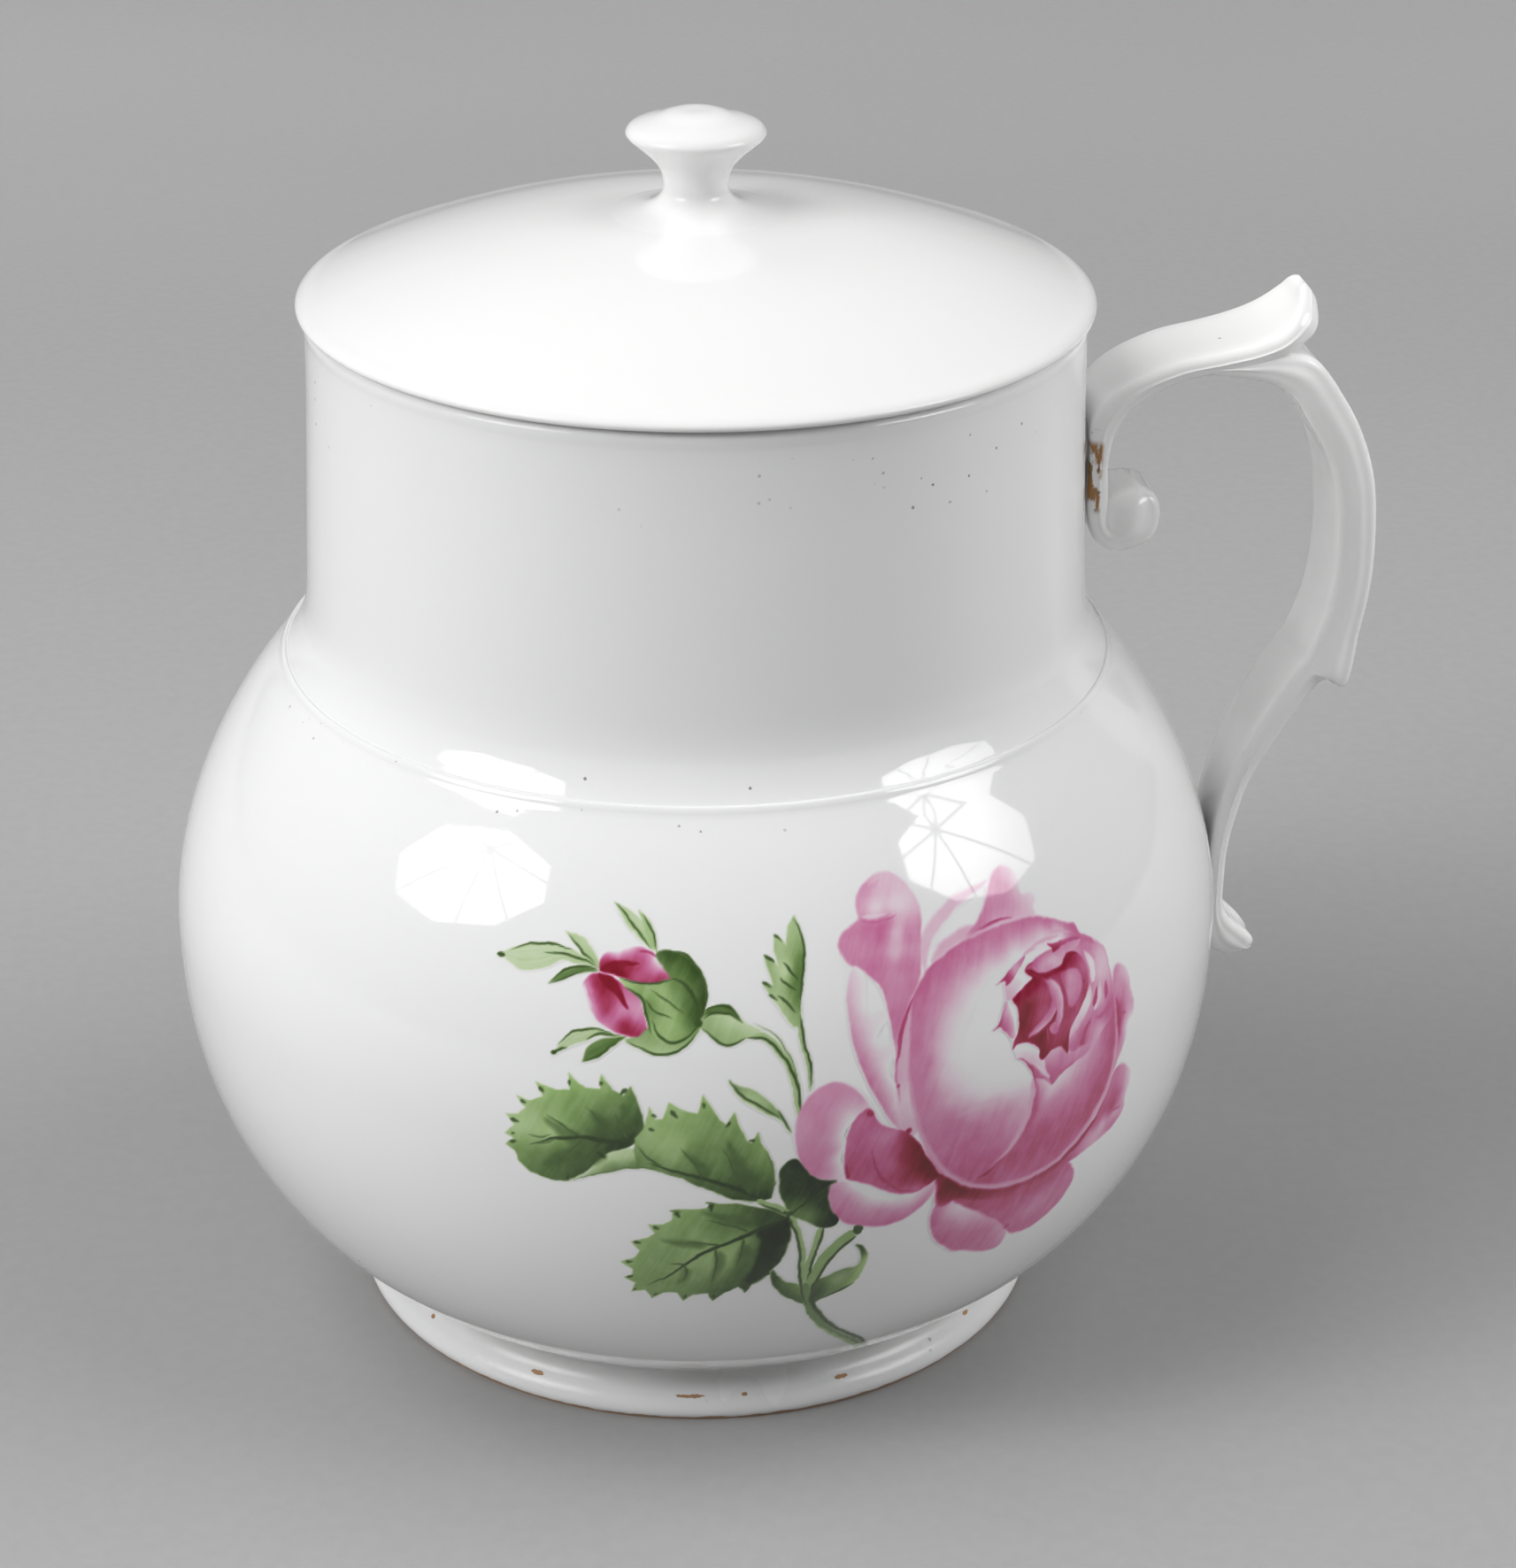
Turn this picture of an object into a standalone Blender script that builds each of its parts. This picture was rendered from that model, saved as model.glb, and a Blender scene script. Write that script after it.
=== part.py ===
"""Covered porcelain jar with a scroll handle.

A globe on a low foot ring, a tall neck, a lift-off domed lid with a mushroom knob, and a strap
handle in two scrolls. Outlines are written in millimetres from the jar's turning axis and become
metres when a mesh is made. +Z is up and the jar stands on the plane z = 0.
"""

from math import cos, pi, radians, sin, sqrt

import bmesh
import bpy
from mathutils import Vector

MM = 0.001

# Driving dimensions, in millimetres
TOTAL_HEIGHT = 210.0
GLOBE_RADIUS = 90.0
GLOBE_CENTRE_Z = 71.2
GLOBE_RISE = 81.8
GLOBE_DROP = 76.0
GLOBE_RISE_POWER = 1.836
GLOBE_DROP_POWER = 2.29
SHOULDER_Z = 119.6
FOOT_HEIGHT = 8.3
FLOOR_THICKNESS = 5.2
WALL = 4.0
NECK_TOP_Z = 178.2
NECK_RADIUS = 64.7
NECK_RADIUS_Z = 147.0
NECK_TAPER = 0.0385
LID_RIM_RADIUS = 65.2
LID_DOME_SPHERE = 160.0
LID_TOP_Z = 193.8
LID_THICKNESS = 3.5
LID_SEAT_INNER = 53.6
HANDLE_REACH = 115.3
GAP = 0.3  # clearance kept between pieces that touch

# The jar's turning axis stands beside the middle of the overall box, because the handle reaches out on +X
AXIS_X = -(HANDLE_REACH - GLOBE_RADIUS) / 2

LARGE_STEPS = 48
SMALL_STEPS = 32
SMOOTH_ANGLE = radians(38)
PORCELAIN = (0.86, 0.86, 0.83)
GLAZE_ROUGHNESS = 0.12


def clear_scene():
    for obj in list(bpy.data.objects):
        bpy.data.objects.remove(obj, do_unlink=True)


def porcelain(name, colour=PORCELAIN, roughness=GLAZE_ROUGHNESS):
    material = bpy.data.materials.new(name)
    material.use_nodes = True
    shader = material.node_tree.nodes["Principled BSDF"]
    shader.inputs["Base Color"].default_value = (*colour, 1.0)
    shader.inputs["Roughness"].default_value = roughness
    shader.inputs["Metallic"].default_value = 0.0
    material.diffuse_color = (*colour, 1.0)
    return material


def add_object(name, mesh, axis, colour=PORCELAIN):
    mesh.shade_smooth()
    mesh.set_sharp_from_angle(angle=SMOOTH_ANGLE)
    obj = bpy.data.objects.new(name, mesh)
    obj.data.materials.append(porcelain(name + "_glaze", colour))
    obj.parent = axis
    bpy.context.scene.collection.objects.link(obj)
    return obj


def add_axis(name):
    """An empty on the jar's turning axis, which the pieces of one body hang from."""
    empty = bpy.data.objects.new(name, None)
    empty.location = (AXIS_X * MM, 0.0, 0.0)
    bpy.context.scene.collection.objects.link(empty)
    return empty


def turned(name, outline, axis, steps=LARGE_STEPS):
    """A closed outline of (radius, height) points spun about the axis. An edge on the axis sweeps no face."""
    bm = bmesh.new()
    ring = [bm.verts.new((radius * MM, 0.0, height * MM)) for radius, height in outline]
    pairs = zip(ring, ring[1:] + ring[:1])
    edges = [bm.edges.new(pair) for pair in pairs if max(v.co.x for v in pair) > 0]
    bmesh.ops.spin(bm, geom=ring + edges, cent=(0, 0, 0), axis=(0, 0, 1), dvec=(0, 0, 0),
                   angle=2 * pi, steps=steps, use_merge=True)
    bmesh.ops.remove_doubles(bm, verts=bm.verts, dist=1e-6)
    bmesh.ops.recalc_face_normals(bm, faces=bm.faces)
    mesh = bpy.data.meshes.new(name)
    bm.to_mesh(mesh)
    bm.free()
    return add_object(name, mesh, axis)


# Body of the jar


def oval_radius(height, radius, rise, drop):
    """The globe's radius at a height: a rounded oval, fuller below its widest line than above it."""
    above = height > GLOBE_CENTRE_Z
    power = GLOBE_RISE_POWER if above else GLOBE_DROP_POWER
    part = abs(height - GLOBE_CENTRE_Z) / (rise if above else drop)
    return radius * (1 - part**power) ** (1 / power)


def outer_radius(height):
    return oval_radius(height, GLOBE_RADIUS, GLOBE_RISE, GLOBE_DROP)


def inner_radius(height):
    return oval_radius(height, GLOBE_RADIUS - WALL, GLOBE_RISE - WALL, GLOBE_DROP - WALL)


def neck_radius(height):
    return NECK_RADIUS - NECK_TAPER * (height - NECK_RADIUS_Z)


def spaced(low, high, count):
    """Heights from low to high, closer together at the lower end, where the wall turns fastest."""
    return [low + (high - low) * (1 - cos(pi * 0.5 * k / count)) for k in range(count + 1)]


def make_globe(axis):
    floor_z = FOOT_HEIGHT + FLOOR_THICKNESS
    outside = [(outer_radius(z), z) for z in reversed(spaced(FOOT_HEIGHT, SHOULDER_Z, 17))]
    inside = [(inner_radius(z), z) for z in spaced(floor_z, SHOULDER_Z, 14)]
    return turned("body_globe", outside + [(0.0, FOOT_HEIGHT), (0.0, floor_z)] + inside, axis)


def make_neck(axis):
    bottom_z = SHOULDER_Z + GAP
    fillet = [(0.1, 9.4), (0.7, 5.2), (2.0, 2.1)]
    outside = [(neck_radius(z) + flare, z) for z, flare in ((170.0, 0.05), (155.0, 0), (140.0, 0))]
    curve = [(neck_radius(bottom_z + up) + out, bottom_z + up) for out, up in fillet]
    lip = [(61.2, NECK_TOP_Z), (63.2, NECK_TOP_Z), (64.0, NECK_TOP_Z - 0.9)]
    shoulder = [(outer_radius(SHOULDER_Z), bottom_z), (inner_radius(SHOULDER_Z), bottom_z)]
    inside = [(neck_radius(z) - WALL + out, z) for z, out in ((123.5, 0.8), (129.0, 0), (152.0, 0))]
    rim = [(60.1, NECK_TOP_Z - 1.6), (60.5, NECK_TOP_Z - 0.4)]
    return turned("neck_collar", lip + outside + curve + shoulder + inside + rim, axis)


def make_foot(axis):
    outline = [
        (56.6, FOOT_HEIGHT - GAP), (56.3, 7.0), (56.6, 5.4), (57.9, 4.1), (59.5, 3.1), (60.1, 1.9),
        (59.8, 0.6), (59.0, 0.0), (52.5, 0.0), (51.6, 0.8), (51.0, 3.0), (50.6, FOOT_HEIGHT - GAP),
    ]
    return turned("foot_ring", outline, axis)


# Lid


def dome_height(radius):
    return LID_TOP_Z - LID_DOME_SPHERE + sqrt(LID_DOME_SPHERE**2 - radius**2)


def make_lid_dome(axis):
    seat_z = NECK_TOP_Z + GAP
    top = [(radius, dome_height(radius)) for radius in (0, 8, 20, 32, 42, 50, 56, 60.5, 63.6)]
    edge = [(64.8, 179.9), (LID_RIM_RADIUS, 179.3), (64.9, 178.8), (64.3, seat_z)]
    hollow = [(radius, dome_height(radius) - LID_THICKNESS) for radius in (50, 42, 32, 20, 0)]
    return turned("lid_dome", top + edge + [(LID_SEAT_INNER, seat_z)] + hollow, axis)


def make_lid_ring(axis):
    outline = [
        (58.8, NECK_TOP_Z), (58.8, 170.6), (58.2, 169.4), (57.2, 169.0), (56.0, 169.5),
        (55.4, 170.8), (55.2, NECK_TOP_Z),
    ]
    return turned("lid_locating_ring", outline, axis)


def make_lid_knob(axis):
    base_z = LID_TOP_Z + GAP
    outline = [
        (0.0, TOTAL_HEIGHT), (3.6, 209.7), (6.9, 208.9), (9.6, 208.0), (10.8, 207.3), (11.0, 206.6),
        (10.4, 205.9), (8.3, 204.9), (6.3, 203.5), (5.2, 201.7), (4.9, 199.8), (5.0, 197.9),
        (5.7, 196.0), (7.0, base_z + 0.5), (7.2, base_z), (0.0, base_z),
    ]
    return turned("lid_knob", outline, axis, SMALL_STEPS)


# Handle: a strap whose inner and outer edges are curves in the X-Z plane

# Stations of each scroll: inner edge (x, z), outer edge (x, z), width along Y
UPPER_STATIONS = [
    ((71.1, 147.3), (73.6, 148.4), 11.5),
    ((70.6, 145.2), (76.2, 146.4), 13.0),
    ((71.6, 143.0), (77.0, 142.6), 14.0),
    ((72.2, 141.2), (75.2, 137.4), 14.0),
    ((70.8, 140.3), (71.6, 135.7), 14.0),
    ((69.5, 141.3), (67.5, 136.8), 14.0),
    ((68.9, 144.0), (65.8, 141.0), 14.5),
    ((68.7, 149.6), (65.4, 149.0), 15.5),
    ((69.9, 155.4), (65.4, 157.0), 17.0),
    ((73.6, 160.2), (69.6, 162.8), 18.5),
    ((80.0, 163.6), (78.0, 166.8), 19.5),
    ((87.0, 165.0), (86.6, 168.6), 20.0),
    ((93.0, 166.2), (92.4, 170.0), 20.5),
    ((98.0, 168.0), (96.6, 171.8), 20.0),
    ((102.6, 171.0), (99.4, 174.6), 16.0),
    ((103.4, 174.6), (100.6, 177.2), 10.0),
    ((102.8, 176.4), (101.6, 177.8), 6.0),
]
LOWER_STATIONS = [
    ((92.4, 164.7), (93.3, 165.9), 20.0),
    ((95.6, 163.6), (98.0, 167.5), 20.0),
    ((98.8, 160.8), (102.7, 166.7), 20.0),
    ((102.3, 155.0), (107.8, 159.8), 19.5),
    ((105.7, 149.2), (111.8, 152.4), 19.0),
    ((107.7, 142.6), (114.4, 143.8), 18.6),
    ((108.6, 134.2), (HANDLE_REACH, 133.6), 18.2),
    ((108.5, 126.7), (115.1, 124.6), 17.8),
    ((107.4, 119.6), (113.9, 116.4), 17.5),
    ((104.9, 112.8), (112.3, 107.4), 17.2),
    ((103.2, 110.4), (108.3, 107.9), 17.0),
    ((100.2, 105.6), (104.4, 103.0), 17.0),
    ((96.2, 98.0), (100.2, 96.2), 16.6),
    ((93.0, 90.4), (96.6, 89.4), 16.0),
    ((91.2, 83.0), (94.6, 82.4), 15.5),
    ((90.4, 76.0), (93.4, 75.6), 15.0),
    ((90.4, 69.0), (93.2, 69.0), 14.5),
    ((90.5, 62.0), (94.3, 63.6), 14.0),
    ((91.2, 57.4), (96.8, 60.8), 13.0),
    ((94.4, 56.0), (98.8, 58.8), 11.0),
    ((97.6, 56.2), (98.9, 57.0), 7.0),
]
CORNER_RADIUS = 1.1
CORNER_POINTS = 3
SPAN_STEPS = 2


def through(points, part):
    """Catmull-Rom curve through the middle two of four values."""
    a, b, c, d = points
    return (b + (c - a) * part / 2 + (a - b * 2.5 + c * 2 - d / 2) * part**2
            + ((d - a) / 2 + (b - c) * 1.5) * part**3)


def smooth_stations(stations, steps):
    """The stations as 5-vectors with curves through them, steps to each span."""
    flat = [(*inner, *outer, width) for inner, outer, width in stations]
    padded = [flat[0]] + flat + [flat[-1]]
    found = []
    for index in range(len(flat) - 1):
        near = padded[index:index + 4]
        for step in range(steps):
            found.append([through(values, step / steps) for values in zip(*near)])
    return found + [list(flat[-1])]


def strap_section(inner, outer, width):
    """A rounded rectangle from the inner edge to the outer edge and half the width to each side of Y = 0."""
    across = outer - inner
    half_depth = across.length / 2
    half_width = width / 2
    corner = min(CORNER_RADIUS, half_depth * 0.8)
    direction = across.normalized()
    middle = (inner + outer) / 2
    points = []
    for quarter in range(4):
        for step in range(CORNER_POINTS):
            angle = pi / 2 * (quarter + step / (CORNER_POINTS - 1))
            side_out = 1 if quarter in (0, 3) else -1
            side_y = 1 if quarter in (0, 1) else -1
            out = side_out * (half_depth - corner) + corner * cos(angle)
            along_y = side_y * (half_width - corner) + corner * sin(angle)
            points.append(middle + direction * out + Vector((0.0, along_y, 0.0)))
    return points


def make_strap(name, stations, axis):
    bm = bmesh.new()
    rings = []
    for inner_x, inner_z, outer_x, outer_z, width in smooth_stations(stations, SPAN_STEPS):
        inner = Vector((inner_x, 0.0, inner_z))
        outer = Vector((outer_x, 0.0, outer_z))
        rings.append([bm.verts.new(p * MM) for p in strap_section(inner, outer, width)])
    for ring, following in zip(rings, rings[1:]):
        for k in range(len(ring)):
            after = (k + 1) % len(ring)
            bm.faces.new((ring[k], ring[after], following[after], following[k]))
    bm.faces.new(rings[0])
    bm.faces.new(rings[-1])
    bmesh.ops.recalc_face_normals(bm, faces=bm.faces)
    mesh = bpy.data.meshes.new(name)
    bm.to_mesh(mesh)
    bm.free()
    return add_object(name, mesh, axis)


def main():
    clear_scene()
    jar_axis = add_axis("jar_axis")
    lid_axis = add_axis("lid_lift_axis")
    make_globe(jar_axis)
    make_neck(jar_axis)
    make_foot(jar_axis)
    make_strap("handle_upper_scroll", UPPER_STATIONS, jar_axis)
    make_strap("handle_lower_scroll", LOWER_STATIONS, jar_axis)
    make_lid_dome(lid_axis)
    make_lid_ring(lid_axis)
    make_lid_knob(lid_axis)


main()
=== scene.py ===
from math import cos, pi, radians, sin, sqrt

import bmesh
import bpy
import numpy as np
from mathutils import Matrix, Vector


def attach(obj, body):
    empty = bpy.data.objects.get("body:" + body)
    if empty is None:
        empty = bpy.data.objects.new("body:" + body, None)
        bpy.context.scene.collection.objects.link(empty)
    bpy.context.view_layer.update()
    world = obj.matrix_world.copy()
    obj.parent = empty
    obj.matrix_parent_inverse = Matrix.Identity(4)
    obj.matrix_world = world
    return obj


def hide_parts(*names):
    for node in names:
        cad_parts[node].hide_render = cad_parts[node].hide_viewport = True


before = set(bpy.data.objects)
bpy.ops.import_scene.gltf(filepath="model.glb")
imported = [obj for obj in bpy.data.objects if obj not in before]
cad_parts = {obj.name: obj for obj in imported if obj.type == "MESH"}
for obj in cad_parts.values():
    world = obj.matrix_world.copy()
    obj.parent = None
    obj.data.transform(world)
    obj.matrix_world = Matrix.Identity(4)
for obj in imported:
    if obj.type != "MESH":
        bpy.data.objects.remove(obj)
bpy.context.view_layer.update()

# The jar's outlines are in millimetres from its turning axis. They become metres when a mesh is made.
MM = 0.001
AXIS_X = -12.65

# ---------------------------------------------------------------- camera

# The turn is about the jar's axis from straight in front. Distance and height are in millimetres.
VIEW_TURN = radians(7.0)
VIEW_DISTANCE = 598.4
VIEW_HEIGHT = 372.7
VIEW_PITCH = radians(25.23)
LENS = 87.72
SENSOR_WIDTH = 36.0
SHIFT_ACROSS = 0.0396
NEAREST_SEEN = 0.01
FARTHEST_SEEN = 20.0


def make_camera():
    data = bpy.data.cameras.new("camera")
    data.lens = LENS
    data.sensor_width = SENSOR_WIDTH
    data.shift_x = SHIFT_ACROSS
    data.clip_start = NEAREST_SEEN
    data.clip_end = FARTHEST_SEEN
    camera = bpy.data.objects.new("camera", data)
    camera.location = (
        (AXIS_X - VIEW_DISTANCE * sin(VIEW_TURN)) * MM,
        -VIEW_DISTANCE * cos(VIEW_TURN) * MM,
        VIEW_HEIGHT * MM,
    )
    camera.rotation_euler = (pi / 2 - VIEW_PITCH, 0.0, -VIEW_TURN)
    bpy.context.scene.collection.objects.link(camera)
    bpy.context.scene.camera = camera


# ---------------------------------------------------------------- node helpers


class Nodes:
    """Short calls to build a material's node tree."""

    def __init__(self, name):
        self.material = bpy.data.materials.new(name)
        self.material.use_nodes = True
        self.tree = self.material.node_tree
        self.tree.nodes.clear()
        self.output = self.add("ShaderNodeOutputMaterial")

    def add(self, kind, inputs=None, **settings):
        node = self.tree.nodes.new(kind)
        for key, value in settings.items():
            setattr(node, key, value)
        for key, value in (inputs or {}).items():
            if isinstance(value, bpy.types.NodeSocket):
                self.tree.links.new(value, node.inputs[key])
            else:
                node.inputs[key].default_value = value
        return node

    def math(self, operation, a, b=0.0, c=0.0):
        return self.add("ShaderNodeMath", {0: a, 1: b, 2: c}, operation=operation).outputs[0]

    def times(self, a, b):
        return self.math("MULTIPLY", a, b)

    def vector(self, operation, inputs):
        return self.add("ShaderNodeVectorMath", inputs, operation=operation).outputs[0]

    def noise(self, where, scale, detail=2.0):
        values = {"Vector": where, "Scale": scale, "Detail": detail}
        return self.add("ShaderNodeTexNoise", values).outputs["Fac"]

    def ramp(self, value, low, high, out_low=0.0, out_high=1.0):
        values = {"Value": value, "From Min": low, "From Max": high, "To Min": out_low, "To Max": out_high}
        return self.add("ShaderNodeMapRange", values, interpolation_type="SMOOTHSTEP").outputs["Result"]

    def mix(self, amount, a, b):
        return self.add("ShaderNodeMix", {0: amount, 6: a, 7: b}, data_type="RGBA").outputs[2]

    def finish(self, shader):
        self.tree.links.new(shader.outputs[0], self.output.inputs["Surface"])
        return self.material


# The glaze drifts between a white and a cooler white. The lid's and the handle's are painted a little lighter, as
# painted light.
GLAZE_WHITE = (0.797, 0.80, 0.80, 1.0)
GLAZE_COOL = (0.778, 0.780, 0.779, 1.0)
LID_WHITE_PAINTED_LIGHT = (0.808, 0.808, 0.806, 1.0)
LID_COOL_PAINTED_LIGHT = (0.795, 0.797, 0.796, 1.0)
HANDLE_WHITE_PAINTED_LIGHT = (0.89, 0.89, 0.885, 1.0)
HANDLE_COOL_PAINTED_LIGHT = (0.875, 0.876, 0.872, 1.0)
# The dark of the firing flecks, also used for the painted shade in the foot's cove
FLECK_AND_PAINTED_SHADE_DARK = (0.10, 0.085, 0.07, 1.0)
STAIN_BROWN = (0.36, 0.17, 0.045, 1.0)
GLAZE_ROUGHNESS = 0.05
FOOT_ROUGHNESS = 0.22
BISCUIT_ROUGHNESS = 0.38


def glaze_shader(n, colour, where, roughness=GLAZE_ROUGHNESS, coat=0.25):
    """Clear glaze over white porcelain: faint waves in the surface, a little unevenness in its gloss."""
    waves = n.noise(where, 14.0, 1.0)
    grain = n.noise(where, 900.0, 2.0)
    bump = n.add("ShaderNodeBump", {"Height": n.math("MULTIPLY_ADD", grain, 0.004, waves),
                                    "Strength": 0.10, "Distance": 0.002})
    gloss = n.ramp(n.noise(where, 60.0, 3.0), 0.3, 0.8, roughness * 0.8, roughness * 1.35)
    return n.add("ShaderNodeBsdfPrincipled", {
        "Base Color": colour, "Roughness": gloss, "IOR": 1.5,
        "Coat Weight": coat, "Coat Roughness": 0.03, "Coat IOR": 1.5,
        "Normal": bump.outputs["Normal"],
    })


def glaze_colour(n, where, white=GLAZE_WHITE, cool=GLAZE_COOL):
    return n.mix(n.ramp(n.noise(where, 9.0, 3.0), 0.35, 0.7), white, cool)


def object_space(n):
    return n.add("ShaderNodeTexCoord").outputs["Object"]


def flecks(n, where, scale, share, size):
    """1 in small uneven spots. Of the cells, scale of them to the metre, this share hold one."""
    cells = n.add("ShaderNodeTexVoronoi", {"Vector": where, "Scale": scale})
    chosen = n.math("LESS_THAN", n.add("ShaderNodeSeparateXYZ", {0: cells.outputs["Color"]}).outputs[0], share)
    edge = n.math("MULTIPLY_ADD", n.noise(where, scale * 6), size * 1.6, size * 0.2)
    return n.times(chosen, n.math("LESS_THAN", cells.outputs["Distance"], edge))


def axis(n, where, index):
    """X, Y or Z of a place, for index 0, 1 or 2."""
    return n.add("ShaderNodeSeparateXYZ", {0: where}).outputs[index]


def band(n, value, low, high, soft):
    """1 from low to high, fading over soft outside."""
    return n.times(n.ramp(value, low - soft, low), n.ramp(value, high, high + soft, 1.0, 0.0))


def porcelain(name, roughness=GLAZE_ROUGHNESS, fleck_band=None, white=GLAZE_WHITE, cool=GLAZE_COOL):
    """Glaze with a few dark firing flecks, kept to a band of heights in millimetres if one is given."""
    n = Nodes(name)
    where = object_space(n)
    colour = glaze_colour(n, where, white, cool)
    spots = flecks(n, where, 160.0, 0.03, 0.05)
    if fleck_band:
        height = axis(n, where, 2)
        patchy = n.ramp(n.noise(where, 30.0), 0.45, 0.6)
        near = band(n, height, fleck_band[0] * MM, fleck_band[1] * MM, 1.5 * MM)
        more = n.times(n.times(flecks(n, where, 620.0, 0.2, 0.16), near), patchy)
        spots = n.math("MAXIMUM", spots, more)
    colour = n.mix(n.times(spots, 0.75), colour, FLECK_AND_PAINTED_SHADE_DARK)
    return n.finish(glaze_shader(n, colour, where, roughness))


# ---------------------------------------------------------------- meshes

SHARP_ANGLE = radians(38)


def mesh_from(bm, name):
    mesh = bpy.data.meshes.new(name)
    bm.to_mesh(mesh)
    bm.free()
    return mesh


def linked_object(name, mesh, material):
    mesh.materials.append(material)
    obj = bpy.data.objects.new(name, mesh)
    bpy.context.scene.collection.objects.link(obj)
    return obj


def add_piece(name, mesh, material, body, nodes):
    mesh.shade_smooth()
    mesh.set_sharp_from_angle(angle=SHARP_ANGLE)
    obj = linked_object(name, mesh, material)
    obj.location = (AXIS_X * MM, 0.0, 0.0)
    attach(obj, body)
    if nodes:
        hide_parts(*nodes)


def turned_mesh(name, outline, steps):
    """A closed outline of (radius, height) turned about the axis. Points at radius 0 close it."""
    bm = bmesh.new()
    rings = []
    for radius, height in outline:
        if radius <= 1e-6:
            rings.append([bm.verts.new((0.0, 0.0, height * MM))])
            continue
        around = [2 * pi * k / steps for k in range(steps)]
        rings.append([bm.verts.new((radius * MM * cos(a), radius * MM * sin(a), height * MM)) for a in around])
    for ring, following in zip(rings, rings[1:] + rings[:1]):
        if len(ring) == 1 and len(following) == 1:
            continue
        for k in range(steps):
            after = (k + 1) % steps
            corners = [ring[k % len(ring)], ring[after % len(ring)],
                       following[after % len(following)], following[k % len(following)]]
            bm.faces.new(list(dict.fromkeys(corners)))
    bmesh.ops.recalc_face_normals(bm, faces=bm.faces)
    return mesh_from(bm, name)


def catmull(points, steps, closed=False):
    """Points on a smooth curve through the given ones, steps to each span."""
    points = [np.array(p, float) for p in points]
    count = len(points)
    found = []
    for index in range(count if closed else count - 1):
        if closed:
            a, b, c, d = (points[(index + k) % count] for k in (-1, 0, 1, 2))
        else:
            a, b = points[max(index - 1, 0)], points[index]
            c, d = points[index + 1], points[min(index + 2, count - 1)]
        for step in range(steps):
            t = step / steps
            found.append(b + (c - a) * t / 2 + (a - b * 2.5 + c * 2 - d / 2) * t**2
                         + ((d - a) / 2 + (b - c) * 1.5) * t**3)
    if not closed:
        found.append(points[-1])
    return np.array(found)


# ---------------------------------------------------------------- the jar's body

GLOBE_RADIUS = 90.0
GLOBE_CENTRE_Z = 71.2
GLOBE_RISE = 81.8
GLOBE_DROP = 76.0
GLOBE_RISE_POWER = 1.836
GLOBE_DROP_POWER = 2.29
SHOULDER_Z = 119.6
FOOT_HEIGHT = 8.3
WALL = 4.0
NECK_RADIUS = 64.7
NECK_RADIUS_Z = 147.0
NECK_TAPER = 0.0385
TURN_STEPS = 256
KNOB_STEPS = 96
INNER_FLOOR_RISE = 5.2
BASE_LAP = 0.9
LIP_START_Z = 175.4
LIP_FLARE = 0.4
LIP_FLARE_FROM_Z = 160.0
LIP_FLARE_HEIGHT = 16.0
FOOT_LIP_RADIUS = 59.0


def oval_radius(height, radius, rise, drop):
    above = height > GLOBE_CENTRE_Z
    part = np.abs(height - GLOBE_CENTRE_Z) / np.where(above, rise, drop)
    power = np.where(above, GLOBE_RISE_POWER, GLOBE_DROP_POWER)
    return radius * (1 - part**power) ** (1 / power)


def outer_radius(height):
    return oval_radius(height, GLOBE_RADIUS, GLOBE_RISE, GLOBE_DROP)


def inner_radius(height):
    return oval_radius(height, GLOBE_RADIUS - WALL, GLOBE_RISE - WALL, GLOBE_DROP - WALL)


def neck_radius(height):
    return NECK_RADIUS - NECK_TAPER * (height - NECK_RADIUS_Z)


def spaced(low, high, count):
    """Heights from low to high, closer together at the lower end."""
    return [low + (high - low) * (1 - cos(pi * 0.5 * k / count)) for k in range(count + 1)]


def make_globe():
    floor_z = FOOT_HEIGHT + INNER_FLOOR_RISE
    # A small rounded edge and a soft groove run round the shoulder, where the neck was luted on
    shoulder = catmull([(67.4, 119.45), (68.5, 119.5), (69.2, 119.55), (69.52, 119.62), (69.86, 119.42), (70.14, 119.0),
                        (70.38, 118.5)], 4)
    # The base reaches a little way down inside the foot, so that no edge shows where they join
    base_z = FOOT_HEIGHT - BASE_LAP
    outside = [(float(outer_radius(z)), z) for z in reversed(spaced(base_z, SHOULDER_Z - 1.9, 76))]
    inside = [(float(inner_radius(z)), z) for z in spaced(floor_z, SHOULDER_Z, 48)]
    under = [(52.0, base_z), (50.0, FOOT_HEIGHT), (0.0, FOOT_HEIGHT), (0.0, floor_z)]
    outline = [tuple(map(float, p)) for p in shoulder] + outside + under + inside
    mesh = turned_mesh("globe", outline, TURN_STEPS)
    add_piece("globe", mesh, porcelain("globe_glaze", fleck_band=(116.0, 119.2)), "jar", ["body_globe"])


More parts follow.
